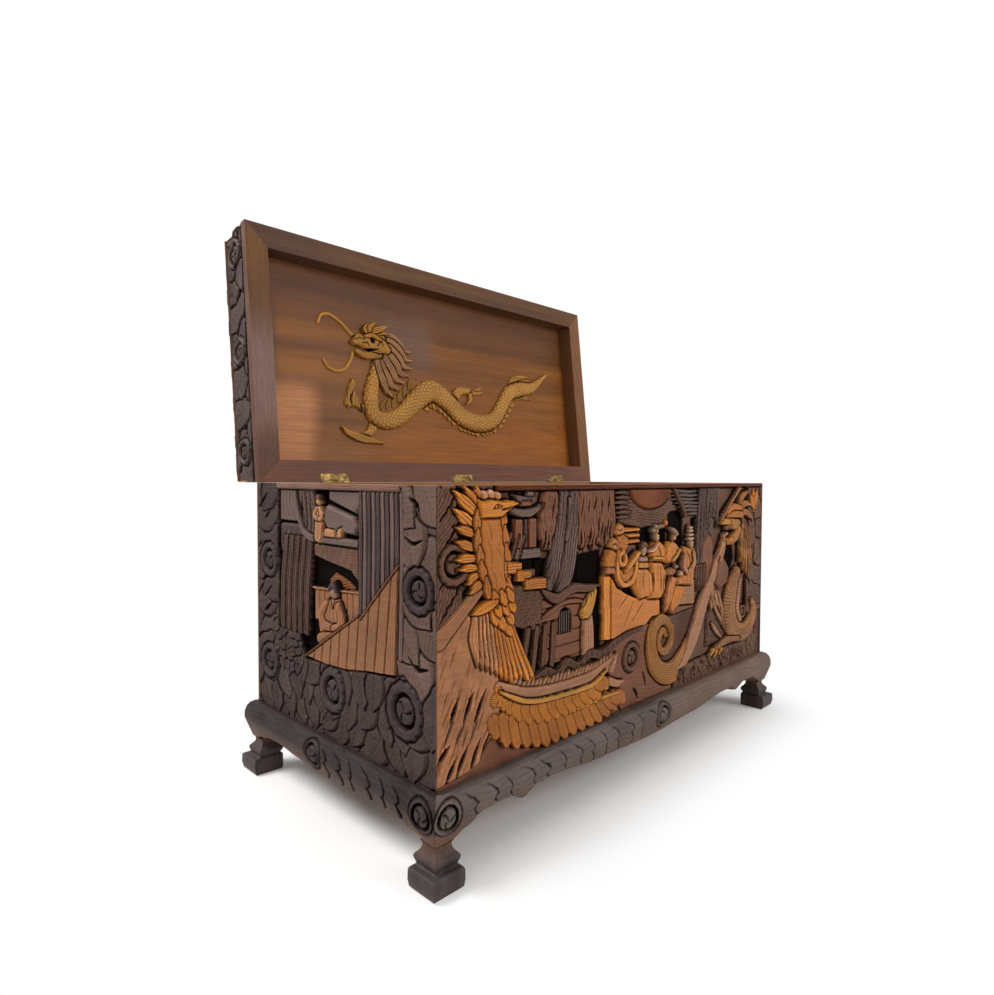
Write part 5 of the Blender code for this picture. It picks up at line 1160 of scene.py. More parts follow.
def carve_end(pace):
    u, v = square_grid(-HALF_DEPTH, HALF_DEPTH, 0, WALL_HEIGHT, pace)
    c = Carving(u, v, -3, DARK)
    c.height += lumps(70, 1.5, 21)(u, v)
    c.foliage(-262, -196, 150, 420, 52, 215, DARK, 23, -7, 35, 5.5)
    c.foliage(186, 266, 110, 420, 60, 300, "#5a4238", 24, -7, 30, 5.5)
    c.foliage(-262, 266, -6, 118, 45, 268, DARK, 22, -7, 50, 5.5)
    c.foliage(-190, -104, 96, 158, 19, 240, DARK, 25, -7, 60, 5)
    # Sunk scene on a ground blackened with painted shade: sky, trees and slatted trunks
    c.plate([(-186, 158), (-186, 410), (182, 410), (182, 300), (170, 138), (-88, 116), (-112, 158)], -16, 0,
            SHADE_BLACK)
    c.plate([(-186, 352), (-186, 411), (-106, 411), (-116, 352)], -10, 4, SLATE, 3, lines=(92, 12, 0.6))
    c.plate([(-186, 296), (-186, 348), (-112, 348), (-92, 322), (-100, 290)], -11, 5, DARK, 4,
            lumps(22, 2, 27))
    for u_top, u_foot in ((-98, -92), (-84, -78), (-70, -66)):
        c.ridge([(u_top, 408, 6), (u_top + 5, 370, 7), (u_foot, 330, 6)], -12, 8, SLATE, "flat",
                flutes(3, 2))
    for i, place in enumerate(np.arange(-176, -72, 10.5)):
        c.ridge([(place - 6, 160, 5), (place - 2, 240, 6), (place + 9, 324, 4.5)], -12 + 2 * (i % 2), 8,
                "#4b352d", "flat", flutes(2, 1.8), 0.9 + 0.2 * (i % 2), ("along", 3.4, 0.6), 1.4)
    for i, place in enumerate(np.arange(80, 186, 11.7)):
        c.ridge([(place, 410, 5), (place + 2, 330, 5.4), (place - 2, 170, 5.4)], -9, 7,
                SLATE if i % 2 else DARK, "flat", None, 0.93, ("along", 5, 0.5), 1.2)
    c.ridge([(-124, 402, 4), (-114, 366, 5), (-92, 336, 6), (-56, 325, 7), (0, 324, 8), (68, 325, 8)], -7,
            6, SLATE, "flat")
    c.plate([(-64, 296), (-64, 320), (72, 320), (72, 262), (50, 280), (-30, 290)], -11, 6, UMBER, 4,
            lumps(26, 1.5, 28))
    # Ledge with a standing figure, a stool and rocks
    c.plate([(-18, 411), (-18, 392), (62, 372), (74, 388), (74, 411)], -11, 5, SLATE, 4)
    c.plate([(-24, 386), (-34, 362), (-20, 344), (60, 338), (70, 352), (58, 368)], -10, 6, SLATE, 4)
    c.figure(-47, 332, 70, PINK, 2, -9)
    c.plate([(-30, 331), (-27, 346), (4, 345), (5, 331)], -8, 5, SKIN, 2)
    c.plate([(9, 331), (13, 347), (27, 351), (25, 332)], -8, 5, SKIN, 2)
    # Cave with a fire, a fence and a seated figure
    c.plate([(-24, 244), (-28, 260), (-10, 273), (14, 268), (34, 262), (50, 254), (54, 244)], -15, 3,
            "#6e3a14", 7, lines=(8, 5, 0.8))
    c.plate([(-68, 186), (-68, 242), (0, 244), (72, 250), (72, 196)], -14, 6, OCHRE, 3, boards(0, 17, 3),
            0.85)
    c.ridge([(-70, 242, 1.8), (0, 245, 1.8), (74, 250, 1.8)], -9, 4, OCHRE, "flat")
    c.plate([(-44, 148), (-48, 186), (-30, 206), (-18, 226), (-6, 236), (12, 236), (24, 226), (32, 204),
             (34, 178), (10, 162)], -10, 9, OCHRE, 6, lumps(30, 1.6, 35), 0.92, (80, 9, 0.5))
    c.ridge([(-18, 222, 6), (-33, 202, 9), (-26, 186, 9), (-4, 184, 7)], -4, 6, OCHRE, "round",
            flutes(2, 0.8), 1.05)
    c.ridge([(18, 222, 6), (27, 202, 9), (20, 188, 8), (4, 184, 6)], -4, 6, OCHRE, "round", flutes(2, 0.8),
            1.05)
    c.ridge([(-40, 160, 9), (-20, 164, 10), (4, 168, 9)], -5, 6, OCHRE, "round", flutes(2, 1), 0.9)
    c.nick(1, 2.5, SHADE_BLACK, (-6, 234, 2, 216, 1.8, 10, 234))
    c.dome(3, 243, 11, -6, 8, "#7a5a48")
    c.ridge([(-8, 246, 3), (3, 255, 5), (14, 246, 3)], -2, 4, DARK)
    # Striped boards with a rail up their slope
    c.plate([(-88, 120), (-10, 166), (74, 216), (80, 212), (178, 302), (170, 140), (100, 132), (40, 122),
             (-20, 118)], -8, 6, "#7d5131", 2, boards(-7, 25, 5, 2.6), 0.95, (83, 6, 0.3))
    for path in (((-90, 121, 1.4), (-8, 168, 1.4), (76, 216, 1.4)),
                 ((80, 210, 1.4), (126, 254, 1.4), (180, 304, 1.4))):
        c.ridge(path, -3, 3, RUSSET, "flat", None, 1.0, ("along", 3, 0), 1.6)
    # Cuts in the border leaves, blackened with painted shade
    c.nick(1, 6, SHADE_BLACK, (-259, 372, -244, 386, 4, -228, 401), (-236, 354, -228, 361, 4, -220, 366),
           (-248, 236, -236, 242, 3, -222, 248), (-240, 206, -228, 216, 3, -214, 228),
           (-242, 178, -230, 186, 4, -214, 197), (196, 346, 214, 338, 3, 236, 344),
           (204, 176, 222, 162, 4, 248, 166), (208, 402, 222, 392, 4, 230, 376))
    for cu, cv, reach, turn in ((-222, 277, 34, 0), (-222, 87, 34, 1), (-2, 80, 39, 2), (193, 95, 44, 0.5),
                                (225, 272, 35, 1.4)):
        c.roundel(cu, cv, reach, "#362a28", -6, turn)
    c.plate([(-192, 410), (-192, 422), (184, 422), (184, 410)], -3, 3, "#6b4a3c", 3)
    c.square_ends(HALF_DEPTH, 7)
    return c


# The base

def eased(knots, at):
    """A curve that leaves and reaches each knot level."""
    places, values = np.array(knots, float).T
    index = np.clip(np.searchsorted(places, at, side="right") - 1, 0, len(places) - 2)
    share = (at - places[index]) / (places[index + 1] - places[index])
    return values[index] + (values[index + 1] - values[index]) * (1 - np.cos(math.pi * share)) / 2


def bulge(drop):
    places, values = np.array(APRON_BULGE, float).T
    return np.interp(drop, places, values)


def carve_apron(half, wave, scaled, rosettes, pace, stain_and_shade, far=None):
    """A bulging apron: pointed scales over one stretch, roundels, and a smooth tube elsewhere."""
    shares = np.linspace(-1, 1, int(2 * half / pace) + 1)
    lower = eased(wave, np.abs(shares))
    share, fall = np.meshgrid(shares, np.linspace(0, 1, 41))
    c = Carving(share * half, -fall * lower, -0.5, stain_and_shade)
    c.height += lumps(90, 1.0, 31)(c.u, c.v)
    if far:
        share = np.clip((c.u - 30) / 140, 0, 1)[..., None]
        c.stain_and_shade = c.stain_and_shade * (1 - share) + linear(far) * share
    start, end = scaled
    lean = np.interp(-c.v, (0, 8, 18, 26, 32, 42, 50, 66), (-18, -9, 5, 9, 3, 8, 10, 2))
    row = (c.u - lean + lumps(70, 16, 36)(c.u, c.u) + lumps(16, 3, 37)(c.u, c.v)) / 38
    rng = np.random.default_rng(32)
    tones = rng.uniform(0.82, 1.15, 200)
    inside = (c.u > start) & (c.u < end)
    rise = np.clip((-c.v - 4) / 8, 0, 1)
    behind = np.minimum(row % 1, 1 - row % 1) * 38
    cut = rise * np.exp(-(behind / 1.5) ** 2)
    c.height = np.where(inside, c.height + rise * (-1.4 + 1.8 * (row % 1) ** 0.7) - 3.2 * cut, c.height)
    # Painted shade darkens the cuts between the scales; the tone of each row is the wood's own
    tone = tones[(np.floor(row).astype(int) + 100) % 200] * (1 - CUT_SHADE * cut)
    c.stain_and_shade = np.where(inside[..., None], c.stain_and_shade * tone[..., None], c.stain_and_shade)
    warm = (np.clip((-c.v - 26) / 36, 0, 1) * np.where(inside, 0.6, 0.9))[..., None]
    tint = linear("#60402e") * (1 - CUT_SHADE * np.where(inside, cut, 0))[..., None]
    c.stain_and_shade = c.stain_and_shade * (1 - warm) + tint * warm
    c.cuts[..., 0] = c.v / 9
    c.cuts[..., 1] = 0.25
    for place in rosettes:
        c.roundel(place, -29, 24, stain_and_shade, -4, 0.7, 0)
    return c


def apron_place(side, half):
    """Where a point of an apron lies: side is front, rear, left or right."""
    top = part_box(f"{side}_apron")[1][2]

    def place(u, v, h):
        out = bulge(-v) + h
        run = u / half * (half + out - 0.4) / 1000
        return on_side(side, run, out / 1000, top + v / 1000)
    return place


def make_apron(side, carving, half, face):
    carving.settle()
    place = apron_place(side, half)
    piece = grid_piece(f"carved_{side}_apron", carving, place(carving.u, carving.v, carving.height))
    back = place(carving.u, carving.v, -APRON_INSET - bulge(-carving.v)).reshape(-1, 3)
    close_back(piece, back, face)
    piece.data.materials[0] = face
    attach(piece, "chest")
    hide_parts(f"{side}_apron")


# The lid

def carve_band(length, rosettes, seed, pace):
    """The edge of the lid: leaves and roundels under a plain fillet beside the frame."""
    u, v = square_grid(0, length, 0, BAND_DEPTH, pace)
    c = Carving(u, v, -4, DARK)
    c.leaves([(-9, 22), (-9, BAND_DEPTH + 9), (length + 9, BAND_DEPTH + 9), (length + 9, 22)], 66, seed,
             DARK, 185, -2, 0.05)
    # A groove along the fillet, blackened with painted shade
    c.ridge([(-9, 26, 2.4), (0.5 * length, 28, 2.4), (length + 9, 26, 2.4)], -8, -3, SHADE_BLACK, "flat")
    for place, depth in rosettes:
        c.roundel(place, depth, 28, DARK, -6, place)
    c.plate([(-9, -3), (-9, 20), (length + 9, 20), (length + 9, -3)], -5, 5, UMBER, 3, None, 0.9,
            (0, 6, 0.4))
    return c


def carve_lid_top():
    """The outside of the lid: hills, water and a low sun in a border of leaves and roundels."""
    top = LID_HEIGHT - TOP_SETBACK
    u, v = square_grid(-HALF_LENGTH, HALF_LENGTH, 0, top, 2.1)
    c = Carving(u, v, -6, DARK)
    c.foliage(-506, 506, 14, 76, 46, 268, DARK, 41, -7.5, 45, 5)
    c.foliage(-506, 506, top - 76, top - 12, 46, 92, DARK, 42, -7.5, 45, 5)
    c.foliage(-506, -446, 90, top - 90, 46, 182, DARK, 43, -7.5, 45, 5)
    c.foliage(446, 506, 90, top - 90, 46, 2, DARK, 44, -7.5, 45, 5)
    c.plate([(-428, 88), (-428, top - 88), (428, top - 88), (428, 88)], -8, -2, UMBER, 3,
            lumps(80, 1.5, 45))
    c.dome(190, 360, 42, -8, 4, SUN, "flat")
    for start, peak, end, tall, stain_and_shade in ((-420, -300, -150, 250, SLATE), (-220, -70, 90, 300, UMBER),
                                          (40, 200, 400, 235, RUSSET)):
        c.plate([(start, 180), (0.6 * start + 0.4 * peak, 180 + 0.55 * (tall - 180)), (peak, tall),
                 (0.5 * peak + 0.5 * end, 180 + 0.5 * (tall - 180)), (end, 180)], -8, 4, stain_and_shade, 9,
                boards(70, 22, 1.4, 6))
    for i, level in enumerate(np.arange(104, 190, 13)):
        knots = [(place, level + 4 * math.sin(place / 34 + 2.1 * i), 5) for place in range(-420, 421, 28)]
        c.ridge(knots, -9, 6, UMBER if i % 2 else RUSSET)
    for foot in (-372, 330):
        c.ridge([(foot, 150, 12), (foot + 12, 230, 10), (foot - 6, 300, 8), (foot + 10, 372, 4)], -7, 8,
                SLATE, "round", flutes(3, 2))
        for step, way in enumerate((160, 20, 150, 30, 120, 60)):
            reach = math.radians(way)
            level = 260 + 20 * step
            c.foliage(foot + 30 * math.cos(reach) - 16, foot + 30 * math.cos(reach) + 16, level, level + 14,
                      17, way, DARK, 50 + step, -5, 40)
    for level, start in ((396, -330), (384, -120), (402, 40), (372, -240)):
        c.ridge([(start, level, 3), (start + 40, level + 8, 8), (start + 90, level - 4, 7),
                 (start + 140, level, 2)], -8, 6, UMBER, "round", strands(5, 1))
    for place in (-476, -238, 0, 238, 476):
        c.roundel(place, 44, 31, DARK, -5, 0.3 * place)
        c.roundel(place, top - 44, 31, DARK, -5, 0.2 * place)
    for level in (170, 330):
        for place in (-476, 476):
            c.roundel(place, level, 31, DARK, -5)
    edge = np.minimum(np.minimum(u + HALF_LENGTH, HALF_LENGTH - u), np.minimum(v, top - v))
    c.height -= 7 * np.clip(1 - edge / 16, 0, 1) ** 2
    return c


DRAGON_BODY = ((-207, 300, 10), (-214, 262, 13), (-226, 222, 18), (-232, 185, 20), (-224, 155, 20),
               (-190, 146, 21), (-145, 163, 23), (-100, 202, 26), (-52, 230, 28), (-5, 210, 26),
               (45, 172, 25), (105, 158, 24), (160, 172, 22), (195, 210, 21), (228, 250, 21),
               (275, 266, 21), (325, 276, 15), (385, 318, 3))


def carve_dragon():
    """The dragon that lies on the lid's inner panel; heights count from the panel."""
    u, v = square_grid(-366, 396, 86, 386, 1.2)
    # Painted shade: the ground is near-black; it is cut away, but its colour blurs into the relief's edges as
    # a dark outline
    c = Carving(u, v, -3, SHADE_BLACK)
    for path in (((-252, 326, 6), (-270, 336, 5), (-298, 360, 4.6), (-325, 373, 4.4), (-345, 368, 4.2),
                  (-354, 350, 4)),
                 ((-256, 312, 6), (-266, 303, 5), (-279, 275, 4.6), (-295, 255, 4.4), (-315, 249, 4.4),
                  (-335, 255, 4.2), (-346, 270, 4))):
        c.ridge(path, -2, 8, BRASSY, "barrel", None, 0.95, ("along", 3, 0.2), 2.6)
    # Flame tail and the saw-toothed fin along the belly
    for path in (((215, 232, 9), (258, 244, 10), (318, 240, 1.5)),
                 ((222, 246, 12), (270, 262, 11), (330, 256, 1.5)),
                 ((228, 256, 12), (280, 284, 11), (338, 292, 1.5)),
                 ((222, 258, 10), (258, 294, 9), (312, 306, 1.5))):
        c.ridge(path, -2, 9, BRASSY, "flat", strands(5, 1.4), 0.9, ("along", 5, 0.9))
    places = np.array(DRAGON_BODY[7:15], float)
    for at in np.arange(-84, 226, 13.0):
        level = np.interp(at, places[:, 0], places[:, 1])
        half = np.interp(at, places[:, 0], places[:, 2])
        slope = math.degrees(math.atan2(np.interp(at + 8, places[:, 0], places[:, 1]) - level, 8))
        turn = math.radians(slope - 90)
        c.leaf(at + (half + 2) * math.cos(turn), level + (half + 2) * math.sin(turn), slope - 62, 26, 8.5,
               BRASSY, -2, 7, strands(5, 0.8), 1.1)
    for place, level, turn in ((-196, 184, 62), (-180, 188, 66), (-164, 196, 72), (-148, 206, 78),
                               (-132, 220, 84), (-116, 236, 92)):
        c.leaf(place, level, turn, 34, 8, BRASSY, -2, 6, None, 0.6)
    # Legs with their claws
    for path in (((18, 200, 15), (34, 232, 13), (58, 240, 10), (88, 238, 7)),
                 ((-222, 152, 14), (-232, 126, 12), (-248, 112, 9), (-268, 106, 6)),
                 ((-232, 166, 12), (-256, 172, 10), (-276, 178, 8))):
        c.ridge(path, -2, 12, BRASSY, "round", scales(8, 1.2), scale_net(8), ("across", 8, 0))
    c.plate([(-280, 248), (-286, 226), (-298, 200), (-303, 176), (-292, 166), (-276, 170), (-256, 164),
             (-262, 190), (-272, 208), (-268, 226)], -2, 11, BRASSY, 5, None, 0.95, (70, 7, 0.8), 2.6)
    c.nick(1, 5, SHADE_BLACK, (-280, 206, -286, 190, 2.2, -284, 172))
    for path in (((86, 238, 6), (104, 246, 5), (120, 254, 1.5)),
                 ((84, 236, 6), (108, 238, 4), (126, 242, 1.5)),
                 ((78, 232, 6), (76, 216, 5), (62, 206, 1.5)),
                 ((-312, 126, 2), (-294, 112, 7), (-264, 103, 10), (-238, 98, 7), (-204, 92, 1.5))):
        c.ridge(path, -2, 11, BRASSY, "flat", None, 0.95, ("along", 4, 0.5))
    c.ridge(DRAGON_BODY, -2, 15, BRASSY, "round", scales(9, 2.2), scale_net(9), ("across", 9, 0), 3.0)
    # Mane: thick wavy strands from the head down beside the neck
    for path in (
            ((-200, 344, 6), (-172, 346, 9), (-146, 334, 9), (-132, 318, 7), (-108, 316, 1.5)),
            ((-198, 334, 7), (-170, 332, 10), (-144, 316, 10), (-130, 298, 7), (-104, 296, 1.5)),
            ((-198, 324, 8), (-174, 318, 10), (-150, 300, 10), (-134, 280, 7), (-108, 276, 1.5)),
            ((-200, 314, 8), (-180, 304, 10), (-158, 284, 10), (-144, 262, 7), (-118, 256, 1.5)),
            ((-204, 304, 8), (-188, 288, 10), (-170, 266, 10), (-158, 246, 7), (-134, 238, 1.5)),
            ((-208, 294, 8), (-198, 270, 10), (-184, 248, 10), (-172, 230, 7), (-152, 220, 1.5)),
            ((-212, 284, 7), (-206, 258, 9), (-196, 234, 9), (-186, 214, 6), (-170, 202, 1.5))):
        c.ridge(path, (3, 0), 11, "#9a6f48", "flat", strands(6, 1.6), line_net(6.5, 0.6), ("along", 6, 0.6),
                3.0)
    # Head: nape, leafy crest, jaw, snout and brow
    c.ridge([(-198, 322, 10), (-196, 338, 14), (-196, 350, 9)], 1, 11, BRASSY, "round", None, 0.95)
    for path in (((-232, 342, 6), (-206, 350, 8), (-176, 350, 1.5)),
                 ((-224, 348, 7), (-200, 358, 8), (-174, 370, 1.5)),
                 ((-230, 346, 6), (-226, 358, 7), (-208, 374, 1.5)),
                 ((-236, 344, 5), (-240, 354, 5), (-232, 366, 1.5))):
        c.ridge(path, 2, 11, STRAW, "flat", strands(5, 1), 1.0, ("along", 5, 0.9))
    c.ridge([(-264, 299, 5), (-240, 292, 8), (-205, 300, 12)], 1, 11, BRASSY, "round", None, 0.9)
    c.ridge([(-268, 320, 8), (-250, 325, 15), (-225, 322, 19), (-195, 318, 19), (-182, 312, 11)], 2, 13,
            BRASSY)
    c.ridge([(-244, 334, 3), (-222, 339, 6), (-200, 332, 4)], 11, 5, STRAW)
    c.ridge([(-268, 328, 3), (-258, 334, 5), (-248, 330, 3)], 10, 5, STRAW)
    # Eye socket and the cuts of mouth and face blackened with painted shade
    c.dome(-222, 328, 5, 11, 3, SHADE_BLACK, "dish")
    c.nick(1, 8, SHADE_BLACK, (-268, 308, -240, 305, 4, -208, 309))
    c.nick(1, 3, SHADE_BLACK, (-252, 318, -238, 320, 1.6, -232, 312), (-210, 316, -200, 328, 1.6, -194, 318))
    return c


def make_dragon(face):
    c = carve_dragon()
    raised = c.height > -1.2
    c.settle()
    piece = grid_piece("lid_panel_dragon", c, on_lid(c.u, c.v, PANEL_FACE - np.maximum(c.height, -0.2)))
    piece.data.materials.append(face)
    bpy.ops.object.mode_set(mode="EDIT")
    bpy.ops.mesh.select_mode(type="VERT")
    bpy.ops.mesh.select_all(action="DESELECT")
    bpy.ops.object.mode_set(mode="OBJECT")
    piece.data.vertices.foreach_set("select", ~raised.ravel())
    bpy.ops.object.mode_set(mode="EDIT")
    bpy.ops.mesh.delete(type="VERT")
    bpy.ops.mesh.select_all(action="SELECT")
    bpy.ops.mesh.extrude_region_move()
    bpy.ops.object.mode_set(mode="OBJECT")
    chosen = np.empty(len(piece.data.vertices), bool)
    piece.data.vertices.foreach_get("select", chosen)
    spots = points_of(piece.data)
    sunk = (PANEL_FACE + 0.6) / 1000 - (spots[chosen] - HINGE) @ LID_THROUGH
    spots[chosen] += sunk[:, None] * LID_THROUGH
    piece.data.vertices.foreach_set("co", spots.ravel())
    face_outwards()
    bpy.ops.object.shade_smooth_by_angle(angle=DRAGON_CREASE)
    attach(piece, "lid")
    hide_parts("lid_dragon_carving")


def plain_board(low_u, high_u, low_v, high_v, stain_and_shade, seed):
    """A planed face with a slight unevenness."""
    u, v = square_grid(low_u, high_u, low_v, high_v, 9.0)
    c = Carving(u, v, 0, stain_and_shade)
    c.height += lumps(160, 0.4, seed)(u, v)
    return c


def rear_level(d):
    """How far up the lid its bevelled rear face lies at a depth."""
    return d * math.tan(LEAN)


def setback(d):
    """How far the front edge of the lid steps back at a depth, from its frame to its top board."""
    return TOP_SETBACK * np.clip((d - 56) / 4, 0, 1)


def on_lid_side(way):
    """Where a point of the lid's left or right edge lies: up the lid, through it, out of it."""
    outer = LEFT * 1000 if way < 0 else RIGHT * 1000

    def place(u, v, h):
        low = rear_level(v)
        high = LID_HEIGHT - setback(v)
        return on_lid(outer + way * h, low + u * (high - low) / LID_HEIGHT, v + FIT)
    return place


def on_lid_front(u, v, h):
    return on_lid(u - HALF_LENGTH, LID_HEIGHT - setback(v) * (h > -40) + h, v + FIT)


def on_lid_rear(u, v, h):
    return on_lid(u, rear_level(v) + 0.2 - h, v)


def on_lid_top(u, v, h):
    low = rear_level(LID_DEPTH)
    top = LID_HEIGHT - TOP_SETBACK
    return on_lid(u, low + v * (top - low) / top, LID_DEPTH + h)


def back_board(wood, inner):
    """The plain back: the solid with its dovetails and hinge beds, its ends mitred like the carved boards."""
    bpy.ops.object.select_all(action="DESELECT")
    source = frame["nodes"]["back_panel"]
    mesh = source.data.copy()
    mesh.transform(source.matrix_world)
    mesh.materials.clear()
    mesh.materials.append(wood)
    mesh.materials.append(inner)
    piece = bpy.data.objects.new("plain_back_board", mesh)
    bpy.context.collection.objects.link(piece)
    bpy.context.view_layer.objects.active = piece
    piece.select_set(True)
    bpy.ops.object.mode_set(mode="EDIT")
    bpy.ops.mesh.select_mode(type="VERT")
    bpy.ops.mesh.select_all(action="SELECT")
    bpy.ops.mesh.remove_doubles(threshold=0.00001)
    for side, way in ((LEFT, -1), (RIGHT, 1)):
        bpy.ops.mesh.select_all(action="SELECT")
        bpy.ops.mesh.bisect(plane_co=(side, BACK, 0), plane_no=(way, -1, 0), use_fill=True,
                            clear_outer=True, clear_inner=False)
    face_outwards()
    for face in mesh.polygons:
        face.material_index = 1 if face.normal.y < -0.5 or face.normal.z > 0.5 else 0
    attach(piece, "chest")
    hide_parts("back_panel")


# Woods and metal of the plain pieces

def soft_box(add, spot, width, level, soft):
    """1 in a box along the chest and up, falling to 0 over a soft border. None leaves a side open."""
    parts = add("SeparateXYZ", {0: spot})
    total = None
    for axis, (low, high) in ((0, width), (2, level)):
        for edge, way in ((low, 1), (high, -1)):
            if edge is None:
                continue
            side = add("MapRange", {"Value": parts.outputs[axis], "From Min": edge - way * soft,
                                    "From Max": edge + way * soft},
                       interpolation_type="SMOOTHSTEP").outputs[0]
            if total is not None:
                side = add("Math", {0: total, 1: side}, operation="MULTIPLY").outputs[0]
            total = side
    return total


def planed_camphor(name, dark, light, grain, patches=(), rough=0.5, seams=None):
    """Camphor wood, sawn, planed and waxed: long darker growth bands, fine pores along the grain, a soft
    sheen. Patches are boxes of another tone over given places; on the lid panel two of them are painted
    shadow and painted light."""
    made, add = new_material(name)
    spot = add("TexCoord").outputs["Object"]
    stretched = add("Mapping", {"Vector": spot, "Scale": grain}).outputs[0]
    warp = add("TexNoise", {"Vector": spot, "Scale": BENDS, "Detail": 3.0})
    bent = add("VectorMath", {0: warp.outputs["Color"], 1: (2.4, 2.4, 2.4), 2: stretched},
               operation="MULTIPLY_ADD")
    bands = add("TexNoise", {"Vector": bent, "Scale": 0.16, "Detail": 6.0, "Roughness": 0.62})
    pores = add("TexNoise", {"Vector": stretched, "Scale": 1.5, "Detail": 4.0, "Roughness": 0.7})
    share = add("MapRange", {"Value": bands, "From Min": 0.32, "From Max": 0.68})
    wood = add("Mix", {0: share, 6: rgba(dark), 7: rgba(light)}, data_type="RGBA").outputs[2]
    ragged = add("VectorMath", {0: warp.outputs["Color"], 1: (0.05, 0.05, 0.05), 2: spot},
                 operation="MULTIPLY_ADD")
    for width, level, soft, colour, much in patches:
        inside = soft_box(add, ragged.outputs[0], width, level, soft)
        factor = add("Math", {0: inside, 1: much}, operation="MULTIPLY")
        streaked = add("MapRange", {"Value": pores, "From Min": 0.25, "From Max": 0.75, "To Min": 0.8,
                                    "To Max": 1.15})
        tinted = add("VectorMath", {0: tuple(linear(colour)), "Scale": streaked}, operation="SCALE")
        wood = add("Mix", {0: factor, 6: wood, 7: tinted}, data_type="RGBA").outputs[2]
    fine = add("MapRange", {"Value": pores, "From Min": 0.3, "From Max": 0.7, "To Min": 0.82,
                            "To Max": 1.12})
    wood = add("VectorMath", {0: wood, "Scale": fine}, operation="SCALE").outputs[0]
    if seams:
        axis, start, pitch = seams
        along = add("SeparateXYZ", {0: spot}).outputs[axis]
        shifted = add("Math", {0: along, 1: start}, operation="SUBTRACT")
        off = add("Math", {0: shifted, 1: pitch}, operation="PINGPONG")
        line = add("MapRange", {"Value": off, "From Min": 0.0004, "From Max": 0.0016})
        shade = add("MapRange", {"Value": line, "To Min": 0.3, "To Max": 1.0})
        wood = add("VectorMath", {0: wood, "Scale": shade}, operation="SCALE").outputs[0]
    gloss = add("MapRange", {"Value": pores, "To Min": rough - 0.1, "To Max": rough + 0.14})
    bump = add("Bump", {"Strength": 0.25, "Distance": 0.0006, "Height": pores})
    shader = add("BsdfPrincipled",
                 {"IOR": WAXED_IOR, "Base Color": wood, "Roughness": gloss, "Normal": bump,
                  "Specular IOR Level": 0.16})
    add("OutputMaterial", {"Surface": shader})
    return made


def worn_brass():
    """Cast and filed brass, handled for years: yellow metal, brown tarnish in patches and fine scratches."""
    made, add = new_material("worn_cast_brass")
    spot = add("TexCoord").outputs["Object"]
    tarnish = add("TexNoise", {"Vector": spot, "Scale": SPOTS, "Detail": 5.0, "Roughness": 0.65})
    share = add("MapRange", {"Value": tarnish, "From Min": 0.42, "From Max": 0.66})
    colour = add("Mix", {0: share, 6: rgba("#8f7548"), 7: rgba("#4a3820")}, data_type="RGBA")
    gloss = add("MapRange", {"Value": tarnish, "From Min": 0.35, "From Max": 0.7, "To Min": 0.42,
                             "To Max": 0.7})
    scratches = add("TexNoise", {"Vector": add("Mapping", {"Vector": spot, "Scale": (60, 900, 900)}),
                                 "Scale": 1.0, "Detail": 3.0})
    bump = add("Bump", {"Strength": 0.15, "Distance": 0.0002, "Height": scratches})
    shader = add("BsdfPrincipled",
                 {"Base Color": colour.outputs[2], "Roughness": gloss, "Normal": bump, "Metallic": 1.0})
    add("OutputMaterial", {"Surface": shader})
    return made


ALONG = (6, 150, 150)
ACROSS = (150, 6, 150)
UPRIGHT = (150, 150, 6)

carved_long = carved_camphor("carved_camphor_long_grain", (18, 260, 260))
carved_short = carved_camphor("carved_camphor_short_grain", (260, 18, 260))
carved_upright = carved_camphor("carved_camphor_upright_grain", (260, 260, 18))

LID_FOOT = HINGE[2]
rail_long = planed_camphor("planed_camphor_long_rail", "#4a3022", "#74502f", ALONG,
                           [((None, None), (None, LID_FOOT + 0.2), 0.06, "#774e40", 0.85),
                            ((None, -0.3), (LID_FOOT + 0.3, None), 0.1, "#4d3630", 0.7)])
rail_upright = planed_camphor("planed_camphor_upright_rail", "#533622", "#7c5430", UPRIGHT,
                              [((0, None), (None, None), 0.2, "#7a5233", 0.8),
                               ((None, 0), (LID_FOOT + 0.12, LID_FOOT + 0.33), 0.06, "#84675f", 0.8),
                               ((None, 0), (None, LID_FOOT + 0.12), 0.05, "#5d4038", 0.75)])
# Panel patches: the darker box over the top of the panel is a painted shadow under the rail, and the lighter
# box low on the right is painted light
panel_wood = planed_camphor("planed_camphor_lid_panel", "#5c3416", "#8f5824", ALONG,
                            [((-0.49, -0.43), (LID_FOOT + 0.25, LID_FOOT + 0.47), 0.012, "#573a30", 0.85),
                             ((None, None), (LID_FOOT + 0.39, None), 0.05, "#4f3020", 0.7),
                             ((-0.47, -0.35), (LID_FOOT + 0.05, LID_FOOT + 0.225), 0.026, "#c08050", 0.88),
                             ((-0.35, -0.2), (LID_FOOT + 0.05, LID_FOOT + 0.12), 0.03, "#96602f", 0.7),
                             ((-0.2, None), (None, LID_FOOT + 0.2), 0.09, "#9e5e24", 0.85),
                             ((-0.16, -0.02), (LID_FOOT + 0.3, LID_FOOT + 0.41), 0.03, "#6e5246", 0.7)],
                            0.42)
inner_long = planed_camphor("planed_camphor_inner_boards", "#7d5436", "#a87a50", ALONG)
inner_short = planed_camphor("planed_camphor_inner_ends", "#7d5436", "#a87a50", ACROSS)
dark_long = planed_camphor("stained_camphor_plain_back", "#43322c", "#5f473b", ALONG, (), 0.55,
                           (2, BASE + 0.012, 0.2))
